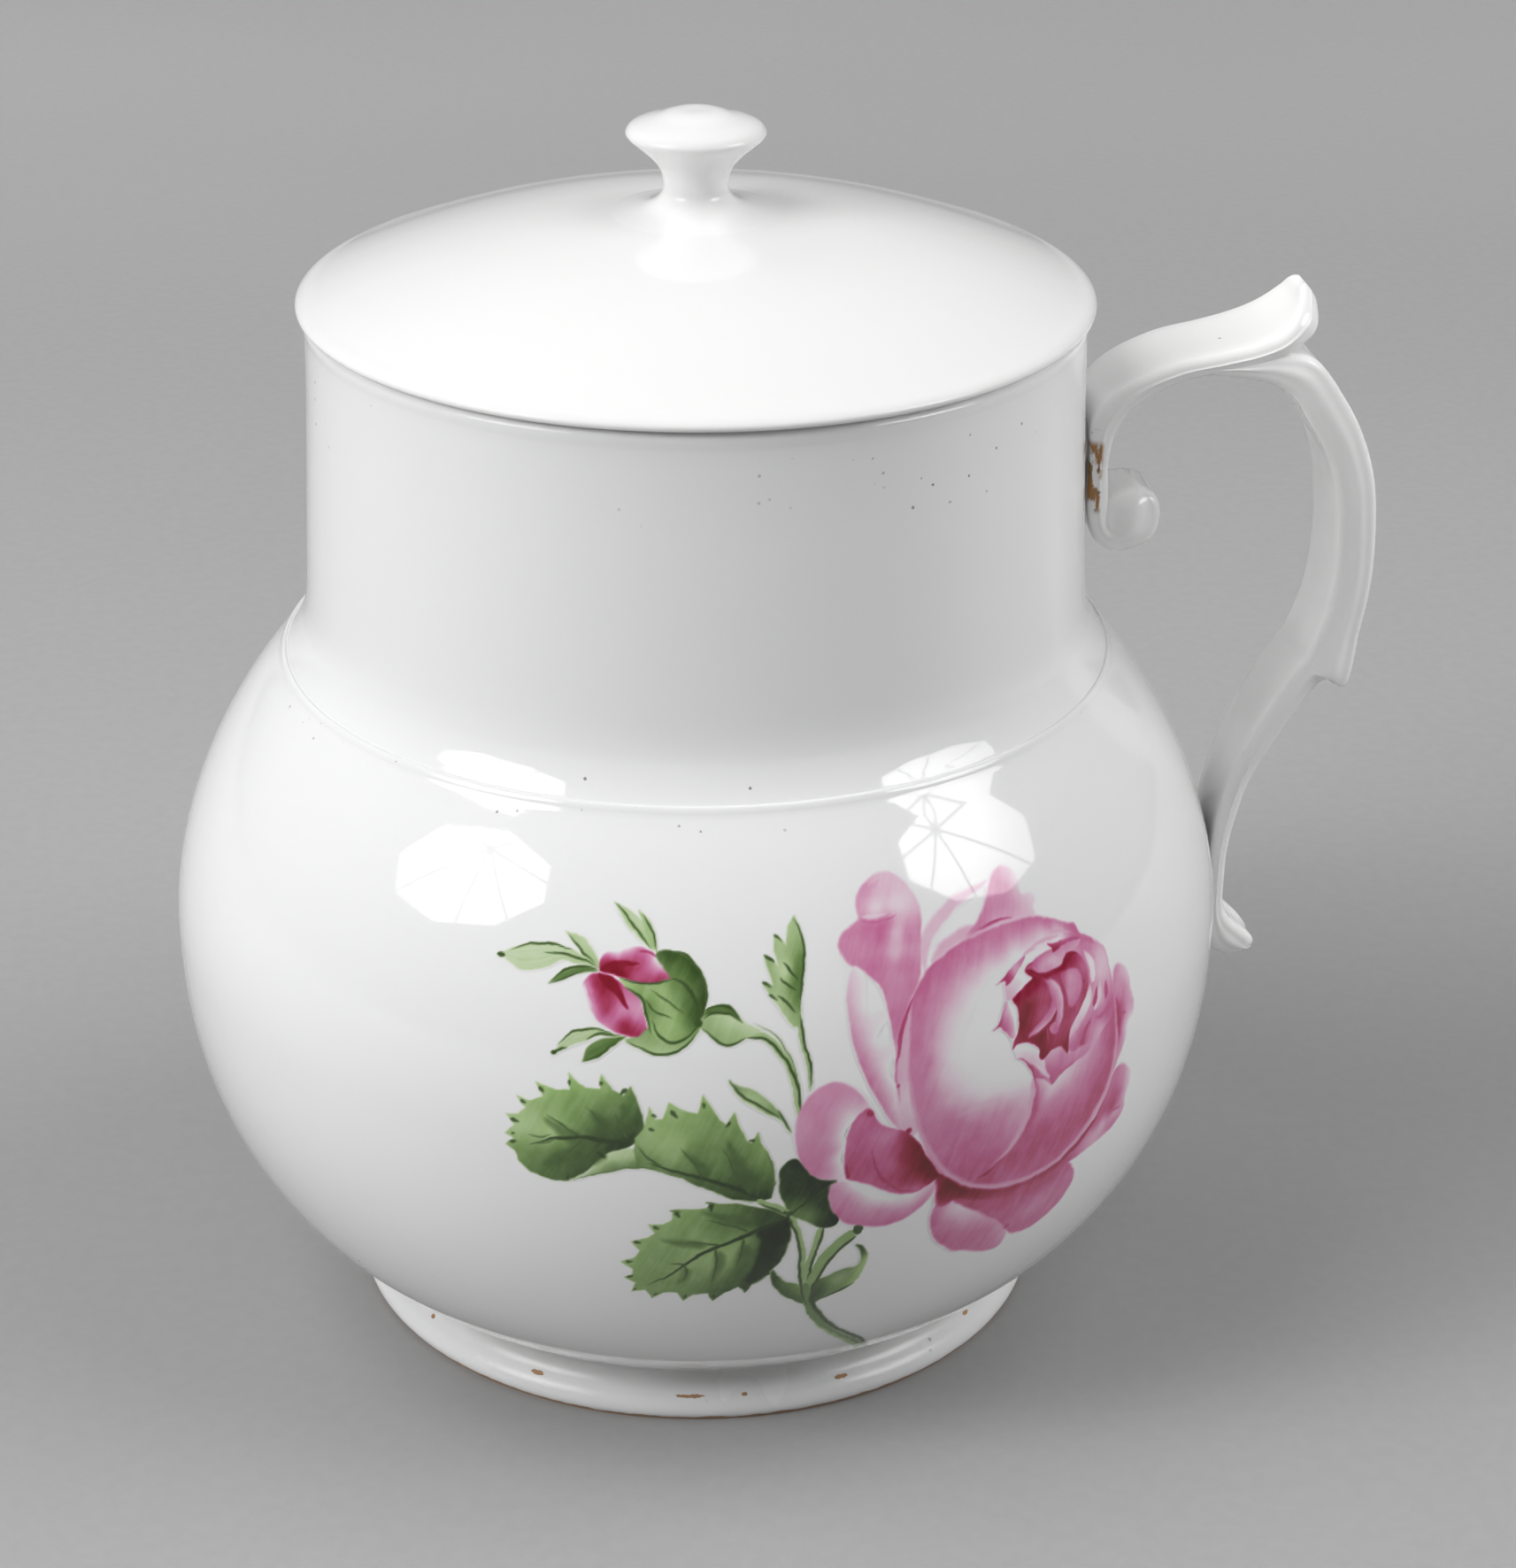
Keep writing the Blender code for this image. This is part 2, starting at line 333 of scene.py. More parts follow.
def make_neck():
    flare = catmull([
        (-0.12, 3.6), (0.12, 3.4), (0.6, 3.1), (1.6, 2.5), (3.0, 1.78), (4.6, 1.1), (6.2, 0.6), (8.4, 0.22),
        (11.0, 0.05), (14.0, 0.0),
    ], 6)
    fillet = [(neck_radius(SHOULDER_Z + up) + out, SHOULDER_Z + up) for up, out in flare]
    straight = [(neck_radius(z) + LIP_FLARE * max(0.0, (z - LIP_FLARE_FROM_Z) / LIP_FLARE_HEIGHT) ** 2, z)
                for z in np.linspace(136, LIP_START_Z, 24)]
    lip = catmull([
        (neck_radius(LIP_START_Z) + 0.37, LIP_START_Z), (64.05, 177.1), (63.3, 178.0), (62.2, 178.2), (61.2, 178.0),
        (60.5, 177.2), (60.2, 175.6),
    ], 6)
    inside = [(neck_radius(z) - WALL, z) for z in np.linspace(174.0, 130.0, 16)]
    throat = catmull([(neck_radius(129) - WALL, 129.0), (neck_radius(124) - WALL + 0.8, 124.0),
                      (inner_radius(SHOULDER_Z), SHOULDER_Z)], 5)
    outline = fillet[:-1] + straight + list(map(tuple, lip[1:])) + inside + list(map(tuple, throat))
    mesh = turned_mesh("neck", [(float(r), float(z)) for r, z in outline], TURN_STEPS)
    add_piece("neck", mesh, porcelain("neck_glaze", fleck_band=(163.0, 173.0)), "jar", ["neck_collar"])


# Where the glaze has worn off the foot's lip: azimuth in degrees, height, half the length and half the height
WORN_PLACES = [
    (-59.0, 5.0, 0.7, 0.4), (-34.5, 4.4, 1.8, 0.32), (-8.0, 4.2, 3.0, 0.3), (1.0, 4.2, 0.7, 0.28),
    (18.0, 4.4, 1.9, 0.3), (47.0, 4.8, 1.2, 0.3), (110.0, 4.4, 2.2, 0.3), (176.0, 4.2, 2.8, 0.3),
    (-120.0, 4.5, 1.6, 0.3),
]


def foot_material():
    """Dull glaze with painted shade darkening the cove under the globe, worn through on the lip, and bare brown clay
    where the foot stands.
    """
    n = Nodes("foot_glaze")
    where = object_space(n)
    height = axis(n, where, 2)
    ragged = n.math("MULTIPLY_ADD", n.noise(where, 240.0, 3.0), 1.3 * MM, 0.15 * MM)
    bare = n.math("LESS_THAN", height, ragged)
    lip = band(n, height, 3.4 * MM, 5.2 * MM, 0.5 * MM)
    round_foot = n.math("ARCTAN2", axis(n, where, 0), n.times(axis(n, where, 1), -1.0))
    fray = n.times(n.noise(where, 900.0, 3.0), 1.4)
    worn = 0.0
    for azimuth, z, half_length, half_height in WORN_PLACES:
        along = n.times(n.math("SUBTRACT", round_foot, radians(azimuth)), FOOT_LIP_RADIUS / half_length)
        up = n.times(n.math("SUBTRACT", height, z * MM), 1 / (half_height * MM))
        far = n.math("SQRT", n.math("ADD", n.times(along, along), n.times(up, up)))
        worn = n.math("MAXIMUM", n.math("LESS_THAN", n.math("ADD", far, fray), 1.45), worn)
    # Painted shade: the cove under the globe is painted darker, most towards its top.
    hollow = n.times(n.ramp(height, 4.2 * MM, 6.6 * MM), n.ramp(n.noise(where, 60.0), 0.3, 0.6, 0.10, 0.24))
    dusty = n.times(flecks(n, where, 520.0, 0.16, 0.2), n.times(lip, n.ramp(n.noise(where, 28.0), 0.46, 0.58)))
    colour = n.mix(hollow, glaze_colour(n, where), FLECK_AND_PAINTED_SHADE_DARK)
    colour = n.mix(n.times(dusty, 0.6), colour, FLECK_AND_PAINTED_SHADE_DARK)
    colour = n.mix(n.times(worn, 0.9), colour, STAIN_BROWN)
    colour = n.mix(n.times(bare, 0.85), colour, STAIN_BROWN)
    return n.finish(glaze_shader(n, colour, where, FOOT_ROUGHNESS, coat=0.0))


def make_foot():
    outside = catmull([
        (56.9, 9.6), (57.2, 8.8), (57.12, FOOT_HEIGHT), (56.95, 7.3), (57.15, 6.2), (57.95, 5.0), (59.3, 3.8),
        (60.1, 2.5), (60.2, 1.2), (59.5, 0.0),
    ], 6)
    inside = catmull([(52.5, 0.0), (51.6, 0.8), (51.0, 3.0), (50.6, 9.6)], 5)
    outline = [tuple(map(float, p)) for p in list(outside) + list(inside)]
    mesh = turned_mesh("foot", outline, TURN_STEPS)
    add_piece("foot", mesh, foot_material(), "jar", ["foot_ring"])


# ---------------------------------------------------------------- the lid

DOME_SPHERE_RADIUS = 160.0
LID_TOP_Z = 193.8
LID_THICKNESS = 3.5


def dome_height(radius):
    return LID_TOP_Z - DOME_SPHERE_RADIUS + sqrt(DOME_SPHERE_RADIUS**2 - radius**2)


def make_dome():
    top = [(float(r), dome_height(r)) for r in np.linspace(0, 62.4, 60)]
    edge = catmull([(62.4, dome_height(62.4)), (64.0, 180.55), (64.95, 179.9), (65.2, 179.3), (64.9, 178.8),
                    (64.1, 178.55), (63.2, 178.5)], 5)[1:]
    hollow = [(float(r), dome_height(r) - LID_THICKNESS) for r in np.linspace(50, 0, 30)]
    outline = top + [tuple(map(float, p)) for p in edge] + [(53.6, 178.5)] + hollow
    mesh = turned_mesh("dome", outline, TURN_STEPS)
    # The lid's glaze is painted lighter than the jar's, as painted light.
    add_piece("dome", mesh, porcelain("dome_glaze", white=LID_WHITE_PAINTED_LIGHT, cool=LID_COOL_PAINTED_LIGHT), "lid", ["lid_dome"])


def make_ring():
    outline = catmull([(58.8, 178.5), (58.8, 174.0), (58.8, 170.6), (58.2, 169.4), (57.2, 169.0), (56.0, 169.5),
                       (55.4, 170.8), (55.2, 174.0), (55.2, 178.5)], 4)
    mesh = turned_mesh("lid_ring", [tuple(map(float, p)) for p in outline], TURN_STEPS)
    material = porcelain("ring_biscuit", BISCUIT_ROUGHNESS)
    add_piece("lid_ring", mesh, material, "lid", ["lid_locating_ring"])


def make_knob():
    outline = catmull([
        (0.0, 210.0), (2.6, 209.98), (4.4, 209.7), (6.4, 209.0), (8.9, 208.25), (10.6, 207.5), (11.35, 206.5),
        (11.1, 205.7), (9.9, 204.6), (8.0, 203.0), (6.4, 201.3), (5.6, 199.8), (5.3, 198.4), (5.35, 197.2),
        (5.8, 196.1), (6.9, 195.0), (8.6, 194.2), (10.8, 193.68), (13.2, 193.3), (15.6, 192.96),
    ], 6)
    points = [(max(0.0, float(r)), float(z)) for r, z in outline]
    points[0] = (0.0, 210.0)
    points += [(15.6, 192.4), (0.0, 192.4)]
    mesh = turned_mesh("knob", points, KNOB_STEPS)
    # The knob's glaze is painted lighter like the lid's, as painted light.
    add_piece("knob", mesh, porcelain("knob_glaze", white=LID_WHITE_PAINTED_LIGHT, cool=LID_COOL_PAINTED_LIGHT), "lid", ["lid_knob"])


# ---------------------------------------------------------------- the enamel painting

# The spray is drawn flat, in millimetres: across is 90 mm times the angle round the jar from the front, and up is
# the distance along the globe's outline from its widest line. A density of 1 is one coat of enamel.
PAINT_STEP = 0.2
PAINT_LOW = (-46.0, -66.0)
PAINT_HIGH = (72.6, 42.4)
ENAMEL_RISE = 0.04
THINNEST_COAT = 0.015
# A place belongs to the sheet of the last stroke that covers at least this share of it
OWNED_FROM = 0.03
PROFILE_STEPS = 3000
ROSE, GREEN, DARK = (np.eye(3)[k] for k in range(3))
ROSE_SHEET, LEAF_SHEET, STEM_SHEET, BUD_SHEET = 1, 2, 3, 4
LATTICE_SIDE = 97
LATTICE_SEED = 11
LATTICE = np.random.default_rng(LATTICE_SEED).random((LATTICE_SIDE, LATTICE_SIDE))
PETAL_STREAKS = 0.14
WASH_STREAKS = 0.09
WASH_TURN = np.radians(65)
# How softly a wash passes its shades, in square millimetres
BLEND_ROUNDING = 1.5


def smooth(value):
    value = np.clip(value, 0, 1)
    return value * value * (3 - 2 * value)


def uneven(x, y):
    """Smooth noise from -1 to 1, one lump to each unit."""
    column, row = np.floor(x).astype(int), np.floor(y).astype(int)
    across, up = smooth(x - column), smooth(y - row)
    corner = [[LATTICE[(row + i) % LATTICE_SIDE, (column + j) % LATTICE_SIDE] for j in (0, 1)] for i in (0, 1)]
    low = corner[0][0] * (1 - across) + corner[0][1] * across
    high = corner[1][0] * (1 - across) + corner[1][1] * across
    return 2 * (low * (1 - up) + high * up) - 1


def wobble(u, v, wide_at, fine_at):
    """How far a hand's slight unsteadiness moves a place, in millimetres."""
    wide = uneven(u * 0.45 + wide_at[0], v * 0.45 + wide_at[1])
    fine = uneven(u * 1.3 + fine_at[0], v * 1.3 + fine_at[1])
    return 0.16 * wide + 0.08 * fine


def nearest(u, v, line):
    """Distance to a polyline and how far along it the nearest place is, from 0 to 1."""
    sides = np.diff(line, axis=0)
    lengths = np.maximum(np.hypot(*sides.T), 1e-9)
    starts = np.concatenate([[0], np.cumsum(lengths)])
    best, along = np.full(u.shape, 1e9), np.zeros(u.shape)
    for (x, y), (dx, dy), length, start in zip(line, sides, lengths, starts):
        t = np.clip(((u - x) * dx + (v - y) * dy) / length**2, 0, 1)
        distance = np.hypot(u - x - t * dx, v - y - t * dy)
        closer = distance < best
        best = np.where(closer, distance, best)
        along = np.where(closer, (start + t * length) / starts[-1], along)
    return best, along


def inside(u, v, ring):
    """Whether each place is within a closed outline."""
    found = np.zeros(u.shape, bool)
    for (ax, ay), (bx, by) in zip(ring, np.roll(ring, -1, axis=0)):
        crosses = (ay > v) != (by > v)
        found ^= crosses & (u < (bx - ax) * (v - ay) / (by - ay + 1e-12) + ax)
    return found


def lookup(table, along, across):
    """Reads a table of densities, its rows along a petal and its columns across it."""
    table = np.array(table, float)
    row = np.clip(along, 0, 1) * (table.shape[0] - 1)
    column = np.clip(across, 0, 1) * (table.shape[1] - 1)
    r, c = np.minimum(row.astype(int), table.shape[0] - 2), np.minimum(column.astype(int), table.shape[1] - 2)
    fr, fc = smooth(row - r), smooth(column - c)
    low = table[r, c] * (1 - fc) + table[r, c + 1] * fc
    high = table[r + 1, c] * (1 - fc) + table[r + 1, c + 1] * fc
    return low * (1 - fr) + high * fr


def between(places, values, where):
    """A smooth surface through values at scattered places, by multiquadrics over a plane."""
    def spread(points):
        return np.sqrt(((points[..., None, :] - places) ** 2).sum(-1) + BLEND_ROUNDING)

    count = len(places)
    flat = np.concatenate([np.ones((count, 1)), places], axis=1)
    system = np.block([[spread(places), flat], [flat.T, np.zeros((3, 3))]])
    found = np.linalg.solve(system, np.concatenate([values, np.zeros((3, values.shape[1]))]))
    return spread(where) @ found[:count] + found[count] + where @ found[count + 1:]


class Canvas:
    """The painting laid flat: the coats at each place, and the sheet that each place belongs to."""

    def __init__(self):
        self.u = np.arange(PAINT_LOW[0], PAINT_HIGH[0], PAINT_STEP)
        self.v = np.arange(PAINT_LOW[1], PAINT_HIGH[1], PAINT_STEP)
        self.coats = np.zeros((len(self.v), len(self.u), 3))
        self.owner = np.zeros(self.coats.shape[:2], int)
        self.sheet = ROSE_SHEET

    def window(self, points, margin):
        """The part of the canvas about these points: where it is, and its places as the hand wanders over them.

        All strokes wander alike, so that they still meet.
        """
        low, high = points.min(0) - margin, points.max(0) + margin
        rows = slice(*np.searchsorted(self.v, (low[1], high[1])))
        columns = slice(*np.searchsorted(self.u, (low[0], high[0])))
        u, v = np.meshgrid(self.u[columns], self.v[rows])
        return (rows, columns), u + wobble(u, v, (20, 0), (0, 40)), v + wobble(u, v, (0, 60), (50, 0))

    def filled(self, u, v, ring, soft):
        """1 within an outline and 0 outside, with a soft edge."""
        edge = nearest(u, v, np.concatenate([ring, ring[:1]]))[0]
        return smooth((edge * np.where(inside(u, v, ring), 1, -1) + soft) / (2 * soft))

    def lay(self, where, mask, coats):
        """Covers what is there with these coats, as far as the mask says."""
        mask = mask[..., None]
        self.coats[where] = self.coats[where] * (1 - mask) + coats * mask
        self.owner[where] = np.where(mask[..., 0] > OWNED_FROM, self.sheet, self.owner[where])

    def petal(self, left, right, table, pigment=ROSE, soft=0.3):
        """A petal between two edges that both run from its base to its tip."""
        left, right = catmull(left, 5), catmull(right, 5)
        ring = np.concatenate([left, right[::-1]])
        where, u, v = self.window(ring, 1.0)
        near_left, along_left = nearest(u, v, left)
        near_right, along_right = nearest(u, v, right)
        across = near_left / (near_left + near_right + 1e-9)
        along = along_left * (1 - across) + along_right * across
        size = float(np.ptp(ring, axis=0).max())
        streaks = uneven(across * size * 0.55 + 7,
                         along * size * 0.06) + 0.6 * uneven(across * size * 1.5, along * size * 0.16)
        density = lookup(table, along, across) * (1 + PETAL_STREAKS * streaks)
        self.lay(where, self.filled(u, v, ring, soft), density[..., None] * pigment)

    def wash(self, ring, shades, soft=0.25, sharp=False):
        """An outline filled with a tone that passes smoothly through the shades given.

        A shade is across, up and coats of rose, or across, up, coats of green and coats of dark.
        """
        ring = np.array(ring, float) if sharp else catmull(ring, 5, closed=True)
        where, u, v = self.window(ring, 1.0)
        places = np.array([shade[:2] for shade in shades], float)
        coats = np.array(
            [ROSE * shade[2] if len(shade) == 3 else GREEN * shade[2] + DARK * shade[3] for shade in shades]
        )
        tone = np.clip(between(places, coats, np.stack([u, v], -1)), 0, coats.max(0) * 1.1)
        along = u * np.cos(WASH_TURN) + v * np.sin(WASH_TURN)
        across = v * np.cos(WASH_TURN) - u * np.sin(WASH_TURN)
        streaks = uneven(across * 0.9, along * 0.16) + 0.8 * uneven(across * 2.6 + 9, along * 0.35)
        tone *= (1 + WASH_STREAKS * streaks)[..., None]
        self.lay(where, self.filled(u, v, ring, soft), tone)

    def stroke(self, points, width, coats, taper=(0.35, 0.35), soft=0.14, strength=1.0):
        """One brush stroke. Taper is the share of its length over which each end comes to a point."""
        line = catmull(points, 6) if len(points) > 2 else np.array(points, float)
        where, u, v = self.window(line, width + 1.0)
        distance, along = nearest(u, v, line)
        start = np.clip(along / taper[0], 0, 1) ** 0.7 if taper[0] else 1.0
        end = np.clip((1 - along) / taper[1], 0, 1) ** 0.7 if taper[1] else 1.0
        half = width / 2 * np.minimum(start, end)
        mask = smooth((half - distance + soft) / (2 * soft)) * np.minimum(1, half / (soft * 0.6) + 0.15) * strength
        self.lay(where, mask, np.ones(u.shape + (1,)) * coats)

    def dot(self, u, v, radius, coats, soft=0.16):
        self.stroke([(u - 0.01, v), (u + 0.01, v)], radius * 2, coats, taper=(0, 0), soft=soft)


# The middles of the three big leaves
LEAF_CENTRES = np.array([(-30.0, 1.5), (-9.5, 0.8), (-9.0, -21.0)])


def paint_tooth(c, u, v, size, coats):
    """A dark touch on a leaf's tooth, drawn in towards the middle of the leaf."""
    inward = LEAF_CENTRES[np.hypot(*(LEAF_CENTRES - (u, v)).T).argmin()] - (u, v)
    inward /= np.hypot(*inward)
    c.stroke([(u, v) + inward * k * size for k in (-0.7, 0.5, 2.4)], size * 1.35, coats, taper=(0.35, 0.7), soft=0.22,
             strength=0.85)


def paint_leaves(c):
    c.sheet = LEAF_SHEET
    leaf = [
        (-20.3, 0.6), (-18.9, 3.0), (-19.3, 5.2), (-20.2, 8.0), (-21.1, 10.0), (-22.0, 8.3), (-24, 9.3), (-25.8, 11.6),
        (-25.9, 9.2), (-28.2, 9.2), (-31, 11.3), (-30.6, 8.7), (-33, 8.2), (-36.3, 9.3), (-34.9, 7.1), (-36.8, 6.1),
        (-39.2, 6.7), (-37.7, 4.6), (-38.9, 3.5), (-41.1, 3.1), (-39.6, 1.4), (-41.2, -0.2), (-39.7, -0.9),
        (-41.1, -2.3), (-39.5, -3.2), (-39, -4.9), (-37.2, -6.5), (-35, -7.2), (-33, -7.6), (-31, -7.2), (-28.5, -5.6),
        (-26.5, -3.4), (-24.6, -1.5), (-22, -0.4),
    ]
    c.wash(leaf, [
        (-38, 1, 1.0, 0.05), (-36, 5, 1.25, 0.15), (-33, 0.5, 1.2, 0.05), (-31, 7.5, 1.5, 0.2), (-26, 8, 1.5, 0.3),
        (-22, 7.5, 1.7, 0.6), (-22, 3.5, 1.8, 1.3), (-25.5, 2.5, 1.8, 1.3), (-28, 3.5, 1.6, 0.6),
        (-29.5, -1.5, 1.8, 1.0), (-33, -3.5, 1.8, 0.9), (-37, -3.4, 1.7, 0.6), (-34, -6.5, 1.8, 0.9),
        (-27, -1.8, 1.9, 1.4), (-22, 0.8, 2.0, 1.9), (-38.5, -2, 1.5, 0.3),
    ], soft=0.18, sharp=True)
    fold = [(-31.5, -7.2), (-28.4, -5.8), (-26.3, -3.2), (-24.4, -1.3), (-21.5, -0.4), (-19.5, -0.8), (-17.8, -3.2),
            (-20.2, -3.9), (-23.5, -4.4), (-27, -5.7)]
    c.wash(fold, [
        (-27, -5, 0.9, 0.1), (-23, -2.5, 0.9, 0.05), (-20, -1.5, 1.1, 0.1), (-19, -3.4, 1.5, 0.7),
        (-24, -3.9, 1.2, 0.5),
    ])
    middle = [
        (-20.6, -0.8), (-20.3, 1.6), (-19.4, 2.6), (-18.8, 4.2), (-18.4, 6.8), (-17.3, 4.8), (-16.1, 4.8), (-15.2, 7.6),
        (-13.4, 6.6), (-12, 6.1), (-10.7, 5.8), (-9.9, 8.8), (-8.4, 6.6), (-7.4, 4.8), (-6.4, 4.0), (-5.1, 5.9),
        (-4.2, 3.2), (-3.2, 1.2), (-2.4, 0.5), (-1.4, 2.5), (-0.9, 0.5), (0.2, -1.2), (0.9, -4.2), (1.3, -7.2),
        (0.9, -9.6), (-1.2, -10.1), (-5, -9.7), (-9, -7.7), (-13, -5.6), (-17, -4.1), (-20.2, -3.7),
    ]
    c.wash(middle, [
        (-18, 3, 1.3, 0.1), (-14, 4.5, 1.35, 0.15), (-12, 1, 1.4, 0.2), (-8.5, 5.5, 1.5, 0.25), (-5, 2.5, 1.6, 0.35),
        (-17, 0, 1.2, 0.1), (-13.5, -2.5, 1.4, 0.3), (-8, -2, 1.6, 0.5), (-4.5, -2, 1.8, 0.8), (-1.5, -2, 1.6, 0.4),
        (0, -6, 1.9, 0.9), (-6, -7.5, 1.9, 1.2), (-1, -9, 2.0, 1.9), (-11, -5.2, 1.9, 1.0), (-4, -8.5, 2.0, 1.6),
        (-2.8, -5.5, 1.9, 1.1), (-10.5, -1, 1.7, 0.6), (-18.5, -3, 1.6, 0.6),
    ], soft=0.18, sharp=True)
    low = [
        (3.6, -13.4), (1.2, -12.1), (-2, -11), (-5, -10.4), (-8.3, -10.2), (-9.4, -11.2), (-12, -11.4), (-14.5, -11.6),
        (-14.7, -13.4), (-16.1, -14.4), (-18.5, -14.5), (-17.6, -16.3), (-18.7, -17.3), (-21.5, -18.2), (-19.9, -20.1),
        (-20.8, -21.7), (-23.2, -22.8), (-21.2, -24.4), (-21.5, -25.6), (-22.8, -26.3), (-21.0, -27.6), (-21.9, -29.9),
        (-19.4, -29.2), (-18.4, -31.3), (-16.4, -29.8), (-14, -29.8), (-13.2, -31.9), (-11.6, -30.3), (-9, -29.9),
        (-8.2, -32), (-6.2, -29.8), (-4, -28.4), (-2.9, -30), (-1.9, -28.0), (-0.6, -26.2), (0.6, -25.9), (2.2, -23.6),
        (3.4, -20.6), (4.0, -17), (4.0, -14.6),
    ]
    c.wash(low, [
        (-10, -12, 1.5, 0.3), (-5, -12, 1.7, 0.7), (-15, -16, 1.35, 0.25), (-18, -21, 1.35, 0.3), (-19, -26, 1.4, 0.35),
        (-13, -19, 1.3, 0.25), (-14, -28, 1.45, 0.35), (-9, -24, 1.3, 0.25), (-8.5, -28.5, 1.7, 0.8),
        (-5.5, -22, 1.35, 0.2), (-5, -27, 1.8, 1.0), (-2.5, -21, 1.7, 0.7), (0.5, -17, 1.9, 1.7), (2, -21, 1.9, 1.9),
        (-0.5, -25, 1.9, 1.7), (-3, -17.5, 1.5, 0.4), (-6, -15, 1.7, 0.7), (-1, -13.5, 2.0, 1.4), (3, -15, 2, 1.9),
    ], soft=0.18, sharp=True)
    shade = [(3.4, -14), (1.2, -15.2), (-1.4, -16), (-0.6, -19.5), (-1.6, -23.5), (-2.6, -27), (-1.6, -27.8),
             (0.6, -25.9), (3.2, -21), (4, -16.5)]
    c.wash(shade, [(1, -18, 2.0, 2.6), (0, -24, 2.0, 2.3), (3, -17, 2.0, 2.6)], soft=0.5)
    base = [
        (3.7, -13), (2.6, -10.3), (2.0, -7.3), (2.1, -4.8), (3.4, -3.1), (4.7, -3.1), (6, -4.6), (7.6, -6.6),
        (9.3, -7.4), (11.2, -7.5), (10.3, -9.2), (9.9, -10.8), (10.5, -13), (11.7, -14.8), (11.3, -16.2), (9.8, -16.6),
        (8.2, -16.1), (5.6, -14.4),
    ]
    c.wash(base, [
        (4, -6, 2.0, 2.3), (3.2, -9.5, 2.0, 1.9), (5, -11, 1.8, 1.2), (7.5, -9, 2.1, 2.6), (10, -8.2, 2.1, 2.7),
        (8.5, -12, 2.0, 1.9), (8, -13.8, 1.8, 1.2), (10.5, -15.5, 2.1, 2.6),
    ])
    # soft shadows beside the veins
    for points, width in (
        ([(-35, 3.6), (-31.5, 1.4), (-28, -0.2)], 2.2), ([(-27.6, 5.6), (-25.4, 3.4), (-23, 1.2)], 2.2),
        ([(-22.4, 7.2), (-21.6, 4.4), (-21, 2)], 2.2), ([(-35.6, -5), (-32, -3), (-28, -1)], 2.4),
        ([(-31, -5.4), (-28, -3.4), (-25, -1)], 2.4), ([(-12.6, -0.6), (-10.6, -3), (-9, -5.4)], 1.6),
        ([(-6.2, 1.6), (-4.8, -2), (-3.4, -6)], 2.0), ([(-3.8, -3), (-2.8, -6), (-2, -9)], 2.0),
        ([(-9.6, -7), (-5, -8.6), (-1, -9.6)], 1.6), ([(-8.4, -27), (-7.2, -23), (-7.2, -20)], 1.5),
        ([(-4.6, -27.6), (-3.4, -23), (-2.8, -18.6)], 2.2), ([(-14.4, -28), (-13, -26), (-12.4, -23.6)], 1.3),
        ([(-10.4, -12), (-6, -13.2), (-1.6, -14.8)], 2.0), ([(-17, -17.4), (-13, -18.4), (-9, -18.8)], 1.4),
    ):
        c.stroke(points, width, GREEN * 1.9 + DARK * 1.25, taper=(0.6, 0.15), soft=0.7, strength=0.62)
    vein = GREEN * 1.9 + DARK * 2.0
    thin = GREEN * 1.8 + DARK * 1.3
    for points, width in (
        ([(-37.5, -1.8), (-33, 0.1), (-28.5, 0.9), (-24, 0.6), (-20.6, 1.2)], 0.65),
        ([(-18.6, -2.9), (-14, -4.4), (-9, -5.9), (-4.5, -7.8), (-1, -9.7)], 0.7),
        ([(-19.2, -28.2), (-16, -26), (-13, -23.2), (-10, -20.6), (-6, -18.3), (-1, -15.9), (3.2, -13.7)], 0.65),
        ([(3.4, -13.2), (6, -11.5), (8.5, -9.6), (10.6, -8)], 0.5),
    ):
        c.stroke(points, width, vein, taper=(0.6, 0.08))
    for points in (
        [(-34.5, 4.3), (-31.8, 2.7), (-28.8, 0.9)], [(-28.3, 6.2), (-26, 4), (-23.8, 0.9)],
        [(-23.6, 5.6), (-22.8, 3.4), (-21.6, 1.2)], [(-33.5, -4.8), (-31, -2.2), (-28.6, 0.6)],
        [(-29, -4.6), (-27, -2), (-25, 0.4)], [(-20.1, 0.2), (-18.6, -1.8), (-16.2, -3.7)],
        [(-13.6, 0.1), (-11.4, -2.6), (-10, -5.6)], [(-7, 0.2), (-5.6, -3), (-4.2, -7)],
        [(-4.9, -3.6), (-3.9, -6.4), (-2.4, -9)], [(-0.3, -4.4), (-1.3, -7), (-1.5, -9.4)],
        [(-15.2, -22.8), (-13.6, -22.7), (-12.6, -23.1)], [(-13.1, -27), (-12.5, -25), (-12.7, -23.2)],
        [(-8.4, -27.6), (-7.7, -23), (-7.8, -19.2)], [(-12.4, -18.1), (-9.6, -18.3), (-7.2, -18.7)],
        [(-9.6, -13.6), (-6, -14.5), (-2.6, -16.2)], [(-4.4, -24), (-3.6, -20.5), (-3.4, -17.4)],
    ):
        c.stroke(points, 0.42, thin, taper=(0.7, 0.1))
